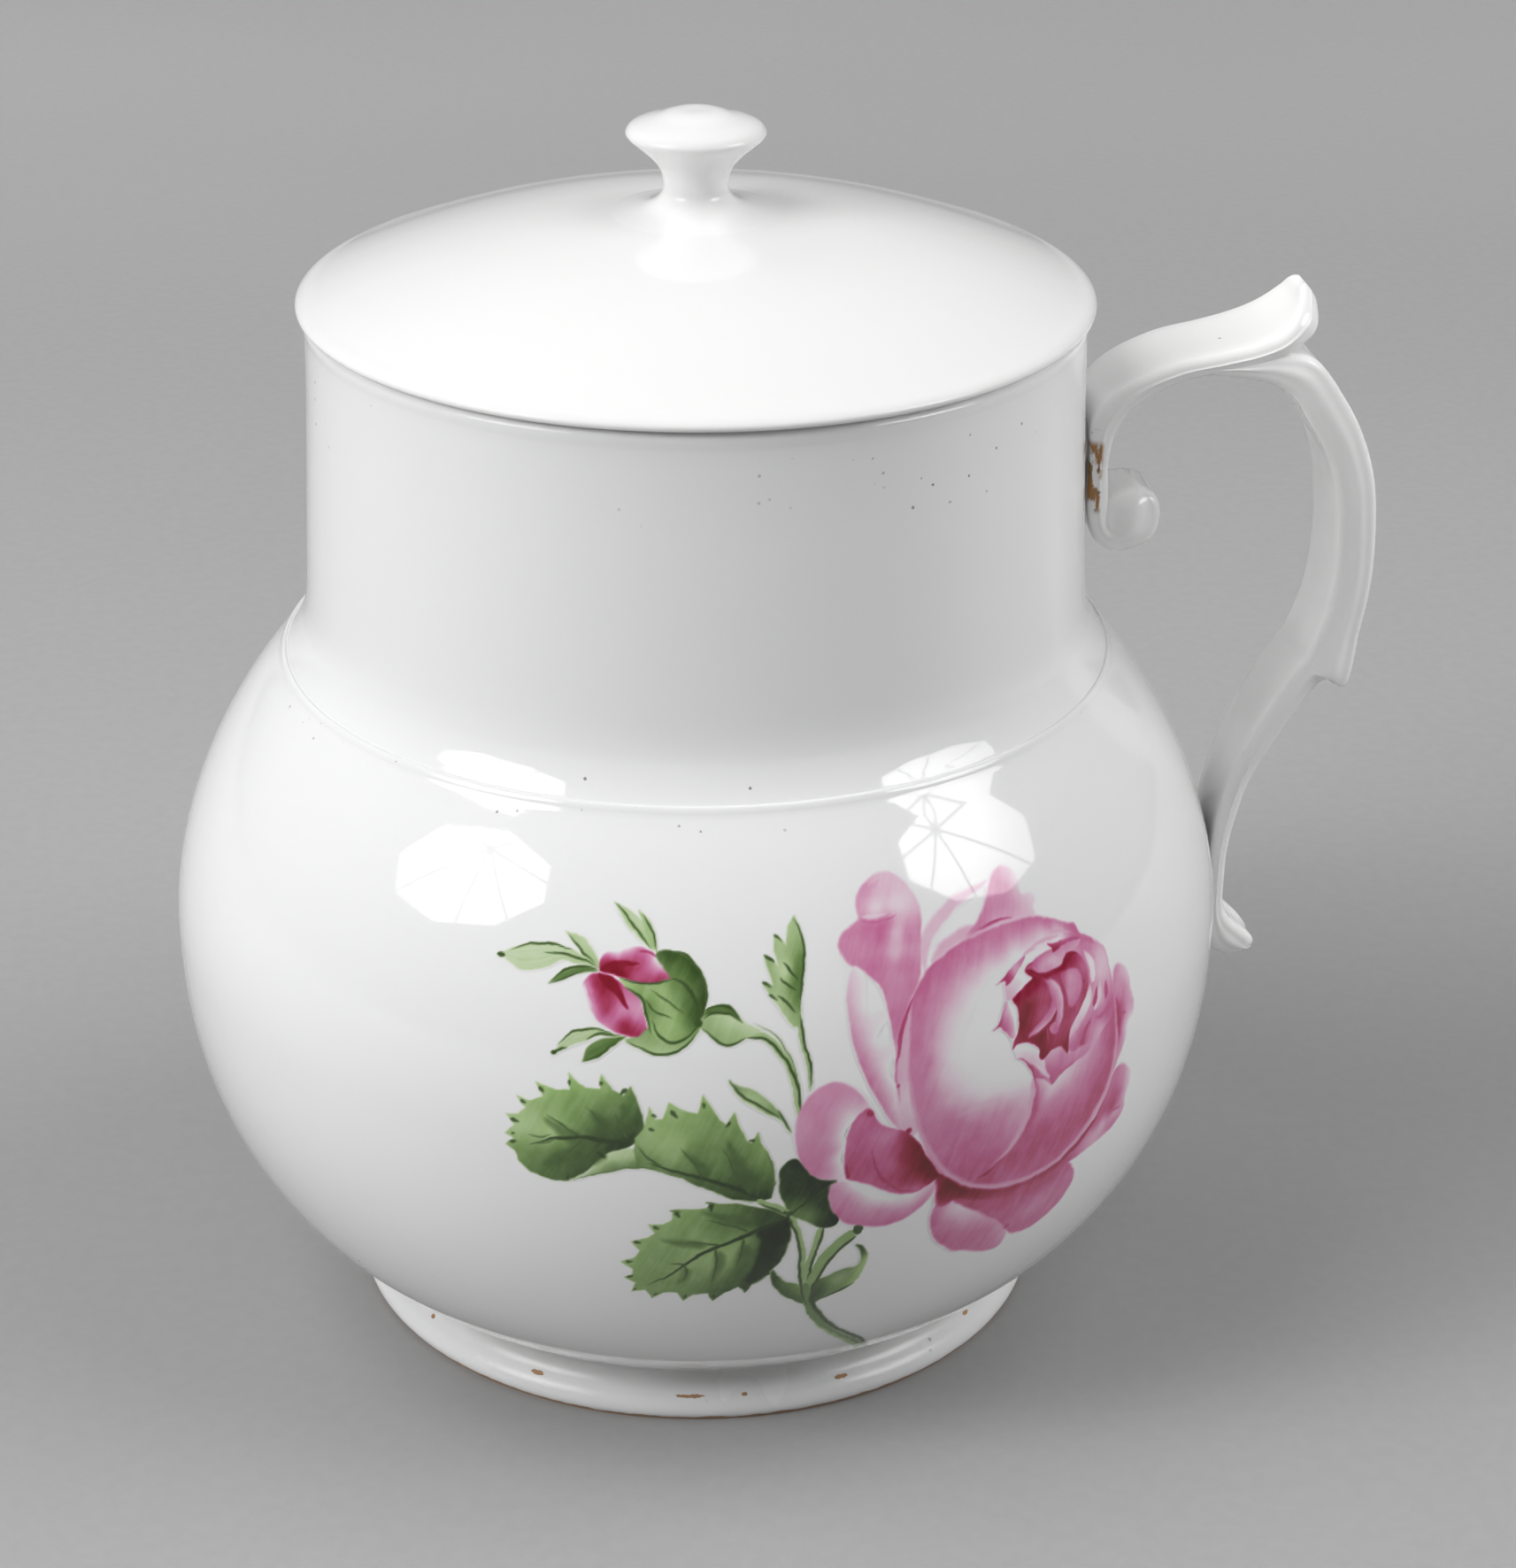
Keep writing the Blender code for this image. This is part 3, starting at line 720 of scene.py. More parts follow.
    for u, v, radius in (
        (-21.8, 9.2, 0.5), (-25.7, 10.3, 0.3), (-30.7, 10, 0.32), (-35.4, 8.4, 0.45), (-38.3, 5.9, 0.42),
        (-40, 2.3, 0.5), (-40.1, -1.7, 0.45), (-40, -0.1, 0.25), (-25.4, -2.2, 0.6), (-31.2, -7, 0.4),
        (-18.2, 3.1, 0.35), (-14.7, 6, 0.55), (-17.8, 5.5, 0.32), (-9.8, 7.4, 0.35), (-5.9, 4.2, 0.4), (-2, 1.0, 0.35),
        (-8.5, -10.5, 0.6), (-14, -12.1, 0.55), (-17.6, -14.9, 0.4), (-20.7, -18.3, 0.45), (-22.1, -22.7, 0.4),
        (-22.1, -26.2, 0.4), (-21.4, -29.3, 0.3), (-12.9, -31, 0.4), (-18, -30.4, 0.3), (-7.9, -31, 0.4),
        (-2.8, -29, 0.4), (0.9, -25.6, 0.6),
    ):
        paint_tooth(c, u, v, radius, vein)
    fine = GREEN * 1.6 + DARK * 0.9
    for points in (
        [(-31, -7.3), (-27, -5.8), (-23.5, -4.5), (-20.2, -3.9), (-17, -4.2), (-12.6, -5.8)],
        [(1.3, -7.6), (0.9, -4), (0, -1)], [(-36.5, -1.3), (-34.5, -0.9), (-32.6, 0)],
        [(-37.6, 0.2), (-35.4, 0.1), (-33.4, 0.8)], [(-9.6, -10.1), (-8.6, -10.3), (-7.6, -10.4)],
        [(-15.2, -11.7), (-14, -11.9), (-13, -12)],
    ):
        c.stroke(points, 0.3, fine)


def paint_stems(c):
    c.sheet = STEM_SHEET
    light, mid, deep = GREEN * 1.1 + DARK * 0.15, GREEN * 1.5 + DARK * 0.6, GREEN * 1.6 + DARK * 1.7
    c.stroke([(-1.5, -9.8), (1, -11.4), (3.8, -13.1)], 1.2, light, taper=(0.1, 0.05))
    c.stroke([(-1.2, -10.4), (1.4, -12), (3.6, -13.3)], 0.3, deep)
    c.dot(3.7, -13, 0.5, deep)
    c.dot(3.0, -12.6, 0.25, deep)
    for points, width, side in (([(3.9, -13.2), (5.3, -17), (6.1, -21), (6.5, -25.5), (6.9, -30)], 1.0, -0.42),
                                ([(9, -16.4), (8.5, -20), (7.5, -24.6), (7.2, -30)], 1.3, 0.5)):
        c.stroke(points, width, light, taper=(0.05, 0.02))
        c.stroke([(u + side, v) for u, v in points], 0.4, deep, taper=(0.1, 0.1))
    c.stroke([(15, -18.2), (12.2, -20.4), (10, -23.6), (8.7, -27.6), (8.1, -31)], 2.0, GREEN * 1.3 + DARK * 0.2,
             taper=(0.05, 0.02))
    c.stroke([(15.2, -19.2), (12.8, -21.4), (10.7, -24.4), (9.4, -28), (8.5, -31)], 0.5, deep, taper=(0.1, 0.1))
    c.stroke([(14.4, -18.3), (15.3, -17.9), (16, -17.7)], 1.9, deep, taper=(0.3, 0.3))
    c.wash([
        (1.7, -25), (2.6, -26.5), (4, -28), (6, -28.9), (7.4, -30.6), (7.8, -34.4), (5.4, -32.8), (3.2, -30.8),
        (1.8, -28.2), (1.3, -26.2),
    ], [(2, -26.5, 1.9, 1.5), (3.4, -29.4, 1.8, 1.1), (5.6, -30.2, 1.6, 0.5), (7, -32.5, 1.7, 0.9)])
    c.wash([
        (8.6, -29.4), (10.8, -27.6), (13.8, -26.5), (15.8, -26.2), (16.5, -25), (16.2, -23), (15.2, -21.2),
        (16.4, -21.8), (17.5, -24), (17.3, -27), (16.4, -29.8), (14.6, -31.7), (11.6, -32.8), (9.6, -34.4),
        (8.4, -34.4),
    ], [
        (12, -28.6, 1.3, 0.3), (15.5, -28.4, 1.3, 0.25), (9.8, -30.6, 1.8, 1.2), (14, -31, 1.4, 0.35),
        (17, -24, 1.5, 0.5), (16.3, -23.4, 1.8, 1.5), (9.5, -33, 1.8, 1.4), (10.8, -28, 1.5, 0.6),
    ])
    c.stroke([(16.2, -30.4), (13, -32.2), (10.4, -33.6)], 0.45, deep)
    c.stroke([
        (7.2, -28.6), (8, -33), (9.2, -37), (11.4, -41), (14.2, -45), (17.6, -48.8), (20.6, -52), (23.6, -56.6),
        (26.4, -61.4), (28.6, -65.4),
    ], 1.4, mid, taper=(0.02, 0.02))
    c.stroke([(9.8, -40), (12.6, -44), (16.2, -48.2), (19.4, -51.8), (22.4, -56), (25, -60.4), (27.4, -64.4)], 0.8,
             light, soft=0.3)
    c.stroke([
        (8.4, -30.6), (9.2, -34.6), (10.6, -37.6), (13.2, -41.8), (16, -45.2), (19.6, -49), (22.6, -52.6), (25.4, -57),
        (27.6, -61), (29.6, -65),
    ], 0.75, deep, taper=(0.1, 0.02), soft=0.25)
    c.stroke([(5.7, -24), (6.9, -31), (8.4, -35.4)], 0.3, deep)
    # the bud's stalk and the thin leaf's
    c.stroke([(-3.6, 18.9), (-0.6, 17.9), (1.8, 16), (3.6, 13), (4.7, 9.4), (4.9, 4.6)], 1.25, GREEN * 1.0 + DARK * 0.1,
             taper=(0.02, 0.2))
    c.stroke([(-3.4, 17.8), (-0.4, 17.5), (1.9, 15.8), (3.8, 12.6), (5.1, 9), (5.3, 5.2)], 0.4, deep, taper=(0.2, 0.1))
    c.stroke([(-2, 20.1), (0.4, 18.9), (2.6, 16.6), (4.2, 13.4), (5.2, 9.4)], 0.22, GREEN * 1.3 + DARK * 0.7)
    c.stroke([(5.4, 21), (5.9, 16.6), (6.8, 12.4), (6.9, 8.4)], 0.75, GREEN * 0.9 + DARK * 0.2, taper=(0.02, 0.3))
    c.stroke([(5.6, 21), (6.2, 16.6), (7.1, 12.4), (7.1, 8.8)], 0.32, deep, taper=(0.1, 0.3))
    c.wash([
        (5.9, 36.1), (6.9, 34), (7.2, 30.4), (6.7, 26.6), (6, 23), (5.7, 19), (4.6, 19), (2.6, 21.6), (0.9, 24.4),
        (-0.1, 26.4), (1.6, 25.7), (1, 28), (0.5, 30.4), (2, 29.4), (2.7, 28.4), (2.3, 31), (2.3, 33.4), (3.8, 32.5),
        (4.3, 31.8), (4.8, 34.4),
    ], [
        (5.6, 34, 0.9, 0.1), (3.6, 31, 0.9, 0.1), (2, 27.5, 0.95, 0.1), (1.2, 30, 1.0, 0.2), (0.4, 26, 1.0, 0.2),
        (3.4, 23.6, 0.95, 0.15), (6.4, 30, 1.5, 0.5), (5.6, 27, 1.7, 0.7), (5.2, 23, 1.5, 0.5), (5, 20, 1.0, 0.2),
        (6.9, 33, 1.0, 0.2), (4.4, 27.5, 0.9, 0.1),
    ], sharp=True)
    c.stroke([(5.6, 35.8), (6.8, 33.6), (7.2, 30), (6.5, 26), (5.8, 21.4)], 0.35, deep)
    for points in (
        [(3.4, 29), (4.6, 27.6), (6, 26.2)], [(2.6, 26.8), (4.2, 25.4), (5.6, 24.4)],
        [(2.2, 24.2), (3.8, 22.8), (5.2, 21.2)], [(0.9, 30.2), (1.7, 29.6), (2.2, 29)],
    ):
        c.stroke(points, 0.32, deep)
    for u, v in ((2.2, 33.4), (0.4, 30.4), (-0.2, 26.5), (0.8, 24.4)):
        c.stroke([(u, v), (u + 0.6, v - 0.4), (u + 1.5, v - 1.2)], 0.42, deep, taper=(0.3, 0.75), strength=0.85)
    c.wash([
        (-6, 11.3), (-4.4, 10.3), (-2, 9.6), (0, 8), (1.6, 6), (2.6, 4.2), (3.6, 2), (2, 4.4), (0, 5.5), (-2.4, 6.7),
        (-4, 8.2),
    ], [(-3, 8.6, 0.9, 0.05), (0, 7, 1.2, 0.2), (1.6, 5.4, 1.4, 0.3), (-4.5, 9.6, 1.2, 0.4)])
    c.stroke([(-5.9, 11.3), (-4, 8.9), (-2, 7.3), (0.4, 5.9), (2, 4.7)], 0.4, deep)
    c.stroke([(1.6, 6.2), (2.7, 4), (3.8, 1.8)], 0.3, deep, taper=(0.3, 0.6))


def paint_bud(c):
    c.sheet = BUD_SHEET
    deep = GREEN * 1.8 + DARK * 1.5
    leaves = (
        ([(-18, 31.2), (-20.6, 33), (-23, 35.2), (-25.3, 38.4)],
         [(-18, 31.2), (-18.9, 33.8), (-21.4, 36.6), (-25.3, 38.4)], 0.75),
        ([(-17.6, 31), (-19.4, 33.4), (-21, 37.4)], [(-17.6, 31), (-17.9, 33.4), (-18.9, 35.6), (-21, 37.4)], 1.0),
        ([(-27, 28.1), (-30.4, 28.5), (-33.4, 28.7), (-35.6, 27.6), (-38.4, 26.6), (-41.4, 26.7), (-44.4, 28.2)],
         [(-27, 28.1), (-30.2, 29.9), (-34, 31), (-38, 30.9), (-41.8, 29.6), (-44.4, 28.2)], 0.65),
        ([(-26.8, 28.2), (-29.6, 29.8), (-31.8, 31.6), (-33.3, 33.2)],
         [(-26.8, 28.2), (-28, 30.6), (-30, 32.5), (-33.3, 33.2)], 0.75),
        ([(-27, 27.8), (-30, 27.2), (-32.6, 26.2), (-35.2, 25)], [(-27, 27.8), (-30, 28.2), (-32.8, 27.5), (-35.2, 25)],
         1.6),
        ([(-22.4, 17.8), (-26, 17.7), (-29, 16.6), (-33.6, 14.3)],
         [(-22.4, 17.8), (-26.4, 18.7), (-30.2, 18.3), (-33.6, 14.3)], 0.75),
        ([(-22.2, 17.8), (-25, 15.4), (-27, 14), (-29, 13.6)], [(-22.2, 17.8), (-25.4, 17.4), (-28, 16), (-29, 13.6)],
         1.7),
    )
    for left, right, amount in leaves:
        c.petal(left, right, [[amount * 1.2, amount * 1.3], [amount, amount * 0.9], [amount * 0.9, amount]],
                GREEN + DARK * (0.45 if amount > 1.2 else 0.1), soft=0.22)
    for points in (
        [(-18.4, 31.4), (-20.8, 34), (-23.4, 36.8), (-25.4, 38.4)], [(-17.7, 31.2), (-18.3, 33.8), (-20.4, 36.8)],
        [(-27, 28.2), (-30.8, 29.4), (-34, 29.7), (-36.8, 29.6)],
        [(-42.4, 29), (-39.4, 30.6), (-35, 31), (-31.6, 30.4)], [(-27.6, 28.6), (-30.4, 30.6), (-32.8, 32.8)],
        [(-35.2, 25.1), (-32.8, 27.4), (-30, 28.1), (-27, 28)], [(-35, 25), (-32.4, 26.2), (-29.6, 27.4)],
        [(-33, 15.4), (-30.6, 18), (-27.4, 18.7), (-24, 18.2)], [(-28.6, 17), (-26, 18), (-23, 18)],
        [(-29, 13.6), (-26.4, 14.6), (-23.4, 17)], [(-31.5, 15.5), (-33.6, 14.3), (-33.8, 14.3)],
    ):
        c.stroke(points, 0.3, deep)
    c.stroke([(-44.8, 28.1), (-43.9, 28.1), (-43.3, 28.2)], 0.7, deep)
    c.stroke([(-34, 14.3), (-33.4, 14.4), (-32.9, 14.4)], 0.5, deep)
    c.wash([
        (-26.8, 28), (-26.7, 29.8), (-24.8, 31.1), (-21.4, 31.7), (-18.6, 31.2), (-16.6, 29.4), (-14.8, 27.1),
        (-18, 26.2), (-21, 26.5), (-24.4, 27.2),
    ], [
        (-25.5, 30.6, 0.4), (-22, 31.2, 0.6), (-24, 29.8, 1.6), (-25, 28.5, 4.2), (-23, 28.9, 3.6), (-20.5, 28.6, 2.2),
        (-18, 30.2, 0.35), (-16.6, 28.8, 0.5), (-17, 27.4, 2.1), (-21, 27.2, 2.3), (-19.5, 31, 1.3), (-26.4, 28, 4),
    ])
    c.wash([
        (-28.6, 27), (-26.6, 27.3), (-23.4, 26), (-20.6, 24.4), (-19.4, 21.6), (-18.9, 19.6), (-18.1, 17.9),
        (-20.4, 17.8), (-23.4, 18.4), (-26.4, 20), (-28.6, 22.4), (-29.8, 25),
    ], [
        (-29, 24.8, 0.6), (-27.6, 22.4, 0.9), (-27.9, 26.2, 2.6), (-26.6, 24.4, 3.0), (-25.4, 21.8, 2.6),
        (-22.6, 19.4, 3.0), (-20, 18.4, 2.8), (-23.4, 21.6, 1.3), (-21.6, 22.6, 0.9), (-20.2, 20.4, 1.4),
        (-24.4, 19.4, 1.4), (-22.4, 24.6, 1.6),
    ])
    c.stroke([(-27.1, 27.4), (-25.2, 26), (-23.6, 24.6), (-21.8, 22)], 1.9, ROSE * 4.3, taper=(0.3, 0.75), soft=0.2)
    c.stroke([(-26.9, 27.9), (-24.6, 28.7), (-22.6, 29.2), (-20.4, 29)], 1.3, ROSE * 4.2, taper=(0.2, 0.6), soft=0.2)
    c.stroke([(-20.6, 31), (-18.8, 30.9), (-17.4, 30.2)], 0.4, ROSE * 2.4)
    c.stroke([(-29.3, 25.8), (-28.4, 24), (-27, 22)], 0.4, ROSE * 1.2)
    c.wash([
        (-22.3, 17.3), (-20, 16.1), (-17, 15.3), (-14, 15.8), (-12, 17.1), (-10.2, 19.6), (-11, 22), (-14, 21),
        (-17.6, 20.4), (-20, 18.2),
    ], [(-20, 17, 1.1, 0.2), (-17, 16.2, 1.0, 0.1), (-13.4, 16.8, 1.1, 0.2), (-11.4, 19, 1.4, 0.4)])
    c.wash([
        (-17.7, 30.7), (-16, 31.4), (-13.4, 30.8), (-11, 29), (-9.6, 26.6), (-9.3, 24), (-10, 21), (-12.2, 24.2),
        (-14.8, 26.6), (-16.2, 28.6),
    ], [
        (-16, 30.6, 1.9, 1.3), (-13.5, 29.2, 1.9, 1.0), (-14.4, 27.4, 1.7, 0.7), (-11.4, 26.6, 1.9, 1.1),
        (-10, 24, 2, 1.6), (-12, 25, 1.7, 0.7),
    ])
    c.wash([
        (-23.6, 26.8), (-20.6, 26.2), (-17.6, 26.4), (-15, 26.9), (-12.6, 25.6), (-10.8, 23), (-10.2, 20.6),
        (-12, 18.4), (-14.6, 17.2), (-17, 17.6), (-18.5, 19.4), (-19.1, 21.8), (-20.2, 23.8), (-22, 25.2),
    ], [
        (-20, 25.4, 1.3, 0.2), (-17, 24.6, 1.15, 0.1), (-14, 24.8, 1.5, 0.5), (-12, 23, 1.8, 1.0),
        (-11, 20.8, 1.9, 1.3), (-14, 21.4, 1.3, 0.2), (-16.6, 20.4, 1.25, 0.15), (-18, 22, 1.5, 0.4),
        (-15, 18.6, 1.2, 0.1), (-12.6, 19.4, 1.5, 0.4),
    ])
    for points, width in (
        ([(-23.7, 26.8), (-20.4, 26.3), (-17, 26.4), (-14.6, 26.9)], 0.3),
        ([(-22.6, 25.6), (-20, 24), (-19, 21.6), (-18.2, 18.4)], 0.4),
        ([(-18.2, 20.8), (-17, 18.4), (-14.6, 17.2), (-12, 18.3), (-10.4, 20)], 0.4),
        ([(-22.2, 17.1), (-19, 15.9), (-16, 15.3), (-13, 16.4), (-10.6, 19)], 0.35),
        ([(-16.8, 31.3), (-13.2, 30.9), (-10.4, 28.4), (-9.2, 25), (-9.8, 21.6)], 0.4),
        ([(-15.2, 27), (-12.8, 26.2), (-11, 23.6), (-10, 21)], 0.6), ([(-19.6, 24), (-17.4, 22), (-14.6, 20.8)], 0.25),
        ([(-18.6, 25.4), (-15.4, 23.4), (-12.6, 21.6)], 0.22),
    ):
        c.stroke(points, width, deep)
    c.wash([
        (-10.4, 20.2), (-9.6, 21.6), (-7.6, 22), (-5.6, 22), (-4.2, 21.2), (-2.8, 20), (-0.6, 18.8), (-3, 17.7),
        (-5.8, 16.8), (-8, 17.6), (-9.6, 19),
    ], [(-8.4, 20.4, 0.9, 0.15), (-6, 19.4, 0.9, 0.05), (-4, 19, 0.8, 0.05), (-7, 17.6, 1.1, 0.2)])
    c.petal([(-9.8, 21.4), (-8, 21.7), (-6, 21.8), (-4.4, 20.9), (-3.4, 20.2)],
            [(-9.8, 21.4), (-8.4, 22.8), (-6, 23), (-4.4, 21.9), (-3.4, 20.2)], [[1.8, 1.8], [1.5, 1.7], [1.5, 1.7]],
            GREEN + DARK * 0.5, soft=0.2)
    for points in (
        [(-9.8, 21.9), (-7.8, 22.9), (-5.4, 22.7), (-3.6, 20.4)], [(-10, 20.8), (-8, 21.8), (-5.4, 21.7), (-3.8, 20.6)],
        [(-10.1, 19.6), (-8, 17.6), (-5.6, 16.8), (-3, 17.8)],
    ):
        c.stroke(points, 0.35, deep)
    c.dot(-10.5, 20.2, 0.6, deep)


def paint_outer_petals(c):
    """The petals that stand out behind the rose's round bowl."""
    c.sheet = ROSE_SHEET
    # the thin white petal over the top, and the upright one beside it
    c.stroke([(27.6, 24.6), (28.4, 28.2), (30.8, 31.2), (35, 33.6), (39.5, 35), (44, 35.8)], 2.0, ROSE * 0.42,
             taper=(0.2, 0.5), soft=0.45)
    c.stroke([(29, 25.6), (31.5, 27.4), (35, 28.6), (38.5, 29.6)], 1.8, ROSE * 0.55, taper=(0.3, 0.3), soft=0.5)
    c.wash([
        (47.6, 37.1), (45.2, 36.5), (43, 34.4), (41, 31.8), (38.8, 29.7), (36, 28.1), (33, 26.6), (38, 27.4),
        (43, 27.8), (47.5, 27.8), (51.2, 27.9), (51.6, 29.4), (52.4, 30.6), (51.8, 31.6), (49.9, 31.9), (49.7, 33.4),
        (50.1, 34.8), (49.4, 36),
    ], [
        (44, 33, 0.95), (46.4, 35.8, 0.8), (42, 31, 1.05), (39.6, 29.4, 1.2), (46, 31, 0.9), (48.9, 34.8, 0.3),
        (48.2, 32.6, 0.55), (48.5, 29.6, 0.55), (51.2, 30.4, 0.3), (37, 28.3, 1.1), (43, 28.2, 0.5), (47.2, 33.8, 0.9),
        (50, 28.4, 0.4),
    ], soft=0.4)
    c.stroke([(36.2, 27.9), (39.5, 28.6), (43, 29.1), (46.9, 28.8)], 0.7, ROSE * 2.3, taper=(0.5, 0.5))
    # the large petal at the upper left
    c.wash([
        (17.4, 34.5), (17.3, 36.6), (18.4, 38.8), (20.6, 40.4), (23.5, 40.9), (26, 39.9), (27.8, 37.9), (28.7, 35.4),
        (28.9, 33), (28.2, 30.3), (27.5, 27.6), (26.7, 24.4), (25.4, 21.5), (23.4, 16.5), (21.3, 10.5), (20.9, 14),
        (20.6, 18), (20.1, 21.5), (19.2, 24), (17.4, 25.4), (15.4, 27), (14, 28.6), (13.2, 30.6), (14, 32.4),
        (15.8, 33.5),
    ], [
        (18.4, 37.4, 0.75), (21.6, 39.6, 0.5), (25.4, 38.6, 0.4), (27.8, 36, 0.35), (20.4, 34.9, 0.35),
        (24, 35.2, 0.28), (23, 37.4, 0.4), (19.6, 38.2, 0.75), (14.6, 31, 1.05), (17.2, 33, 1.2), (20, 33.1, 1.4),
        (22.6, 33.2, 1.1), (15.8, 29, 1.0), (19, 30.6, 1.15), (17.8, 27.4, 1.1), (20.6, 27, 1.1), (21.8, 30.2, 0.95),
        (22.8, 28, 0.5), (24, 31.2, 0.4), (26.6, 34.4, 0.35), (24.4, 26.6, 1.1), (25.6, 30.6, 0.95), (28, 31.6, 0.95),
        (27, 27.8, 0.9), (24.6, 22.6, 1.1), (22, 24, 1.05), (21.6, 19.6, 1.15), (21.6, 15, 1.1), (21.2, 12, 0.8),
    ], soft=0.35)
    c.stroke([(17.4, 34.1), (19.6, 33.6), (22.6, 33.5), (24.6, 34)], 0.5, ROSE * 1.5, taper=(0.3, 0.6))
    c.stroke([(17.7, 34.7), (20, 34.4), (23, 34.4)], 0.6, ROSE * 0.25, taper=(0.3, 0.5), soft=0.3)
    c.stroke([(18.5, 37), (20.3, 38.6), (22.6, 39.9)], 0.7, ROSE * 0.8, soft=0.4, strength=0.7)
    # the long petal with a white middle
    c.wash([
        (15.2, 27.2), (14, 24.4), (13.6, 20), (14.1, 15.5), (15.3, 11), (17.2, 6.5), (19.3, 2.6), (21.8, -0.8),
        (22.4, 1.5), (21.4, 4.5), (21.1, 8), (20.8, 13), (20.5, 18), (19.8, 22.5), (18.4, 24.8), (16.8, 26.4),
    ], [
        (14.4, 25.4, 0.3), (13.8, 20, 0.65), (14.5, 15, 0.95), (16, 10.5, 1.15), (18, 6, 1.1), (20, 2.6, 0.75),
        (21.8, 0.2, 0.4), (15.2, 22, 0.25), (15.7, 16.4, 0.5), (17.4, 10.6, 0.7), (19, 7, 0.55), (17, 24.6, 0.02),
        (17, 20.6, 0), (18.2, 15, 0.02), (19.3, 11, 0.08), (20.3, 7, 0.12), (21, 3.6, 0.2), (20, 19.4, 0.04),
        (20.4, 13, 0.08),
    ], soft=0.3)
    c.wash([
        (20.9, 11), (21.7, 15), (23.5, 19.2), (25.7, 22.6), (28.5, 25.4), (27, 23), (24.8, 19), (23.7, 14), (23.4, 9),
        (23.7, 4), (24.6, 0), (23.4, -1.8), (21.9, -0.4), (20.9, 4), (20.7, 8),
    ], [
        (21.3, 9, 0.6), (22.4, 14, 0.55), (22.6, 6, 0.3), (23, 1, 0.45), (24.3, 20, 0.6), (21.4, 3, 0.35),
        (26, 22.6, 0.5),
    ], soft=0.3)
    c.stroke([(21.1, 10.6), (21.9, 14.6), (23.4, 18.4), (26.2, 22.6)], 0.75, ROSE * 2.1, taper=(0.3, 0.6))
    c.stroke([(21.1, 12), (21, 8), (21.4, 4.2)], 0.4, ROSE * 1.2, taper=(0.1, 0.7))
    c.dot(21.1, 7.4, 0.28, ROSE * 2)
    # the folded petal at the lower left, its dark lining and the one below
    c.wash([
        (4.5, 0), (4.4, 3.4), (5.8, 6.7), (8.4, 9.1), (11.2, 9.6), (14, 8.1), (15.8, 6), (16.6, 4), (14.5, 3.2),
        (13.1, 1), (12.7, -2), (12.9, -7.4), (11.6, -7.7), (9, -7.3), (6.8, -5.9), (5.1, -3),
    ], [
        (5.6, 4, 0.85), (8.6, 8, 0.95), (12, 8.9, 0.95), (14.6, 6.9, 0.8), (8, 4, 1.05), (5.4, 0, 0.85),
        (7.3, -2.2, 1.1), (9.2, -5.4, 1.05), (11, 6, 0.85), (13.2, 3.9, 0.2), (11.9, 0.6, 0.06), (11.5, -3.6, 0.05),
        (12.3, -6.6, 0.1), (15, 4.6, 0.35), (10.2, 2.4, 0.7), (9.8, -2, 0.9), (10.6, -6.8, 0.5),
    ], soft=0.35)
    c.wash([
        (12.7, -7.2), (12.4, -3), (12.6, 0), (13.5, 2.4), (15.2, 4.2), (16.4, 4.5), (17.5, 2.6), (18.8, 1.1),
        (20.5, 0.2), (22.6, -0.9), (24.4, -3), (26.2, -6.3), (28.6, -10.1), (27.2, -11.4), (25, -12.5), (22, -12.3),
        (19, -11), (16.5, -9.2), (14.2, -8.2),
    ], [
        (14, 1, 1.6), (15.9, 3.6, 1.9), (13.3, -2, 1.75), (13.1, -6, 2.1), (15.5, -1, 1.55), (18, 0.2, 1.35),
        (20.7, -0.6, 1.4), (18.4, -3.6, 1.5), (15.6, -6.4, 1.9), (20.6, -3, 1.8), (22.4, -1.8, 2.8), (21.4, -6.4, 2.3),
        (23.4, -4, 4.3), (24.9, -7, 5.2), (27.2, -10, 5.4), (19.4, -8, 2.1), (23.4, -9.4, 3.3), (26, -11.6, 2.4),
        (22.5, -11.8, 1.8), (18.5, -10.2, 1.9),
    ])
    c.stroke([(16.7, -2.4), (17.4, -6), (19.2, -9.2), (21.8, -11.5), (25, -12.2)], 0.5, ROSE * 2.5, taper=(0.5, 0.4))
    c.stroke([(12.8, -4.8), (13.1, -7.6)], 0.6, ROSE * 2.8, taper=(0.5, 0.1))
    c.dot(16.4, 3.7, 0.52, ROSE * 3.0)
    c.wash([
        (10.3, -8), (9.9, -10), (10.5, -13), (12.8, -15.9), (16.5, -17.6), (20.5, -18), (24, -17), (26.7, -15),
        (28.3, -12.3), (28.5, -10.8), (26.5, -11.7), (24, -12.9), (20, -12.4), (16, -10.5), (13, -8.1),
    ], [
        (11.3, -9, 0.8), (11.1, -12, 1.1), (13.8, -15.1, 1.25), (18, -16.8, 1.25), (22, -16.8, 1.15),
        (25.5, -15.1, 0.95), (27.8, -12.2, 0.6), (14, -9.5, 0.12), (17, -12.1, 0.08), (20.5, -13.6, 0.2),
        (24.5, -13.7, 0.3), (13.2, -11, 0.7), (15.6, -13.2, 0.75), (19.4, -15, 0.85),
    ], soft=0.35)
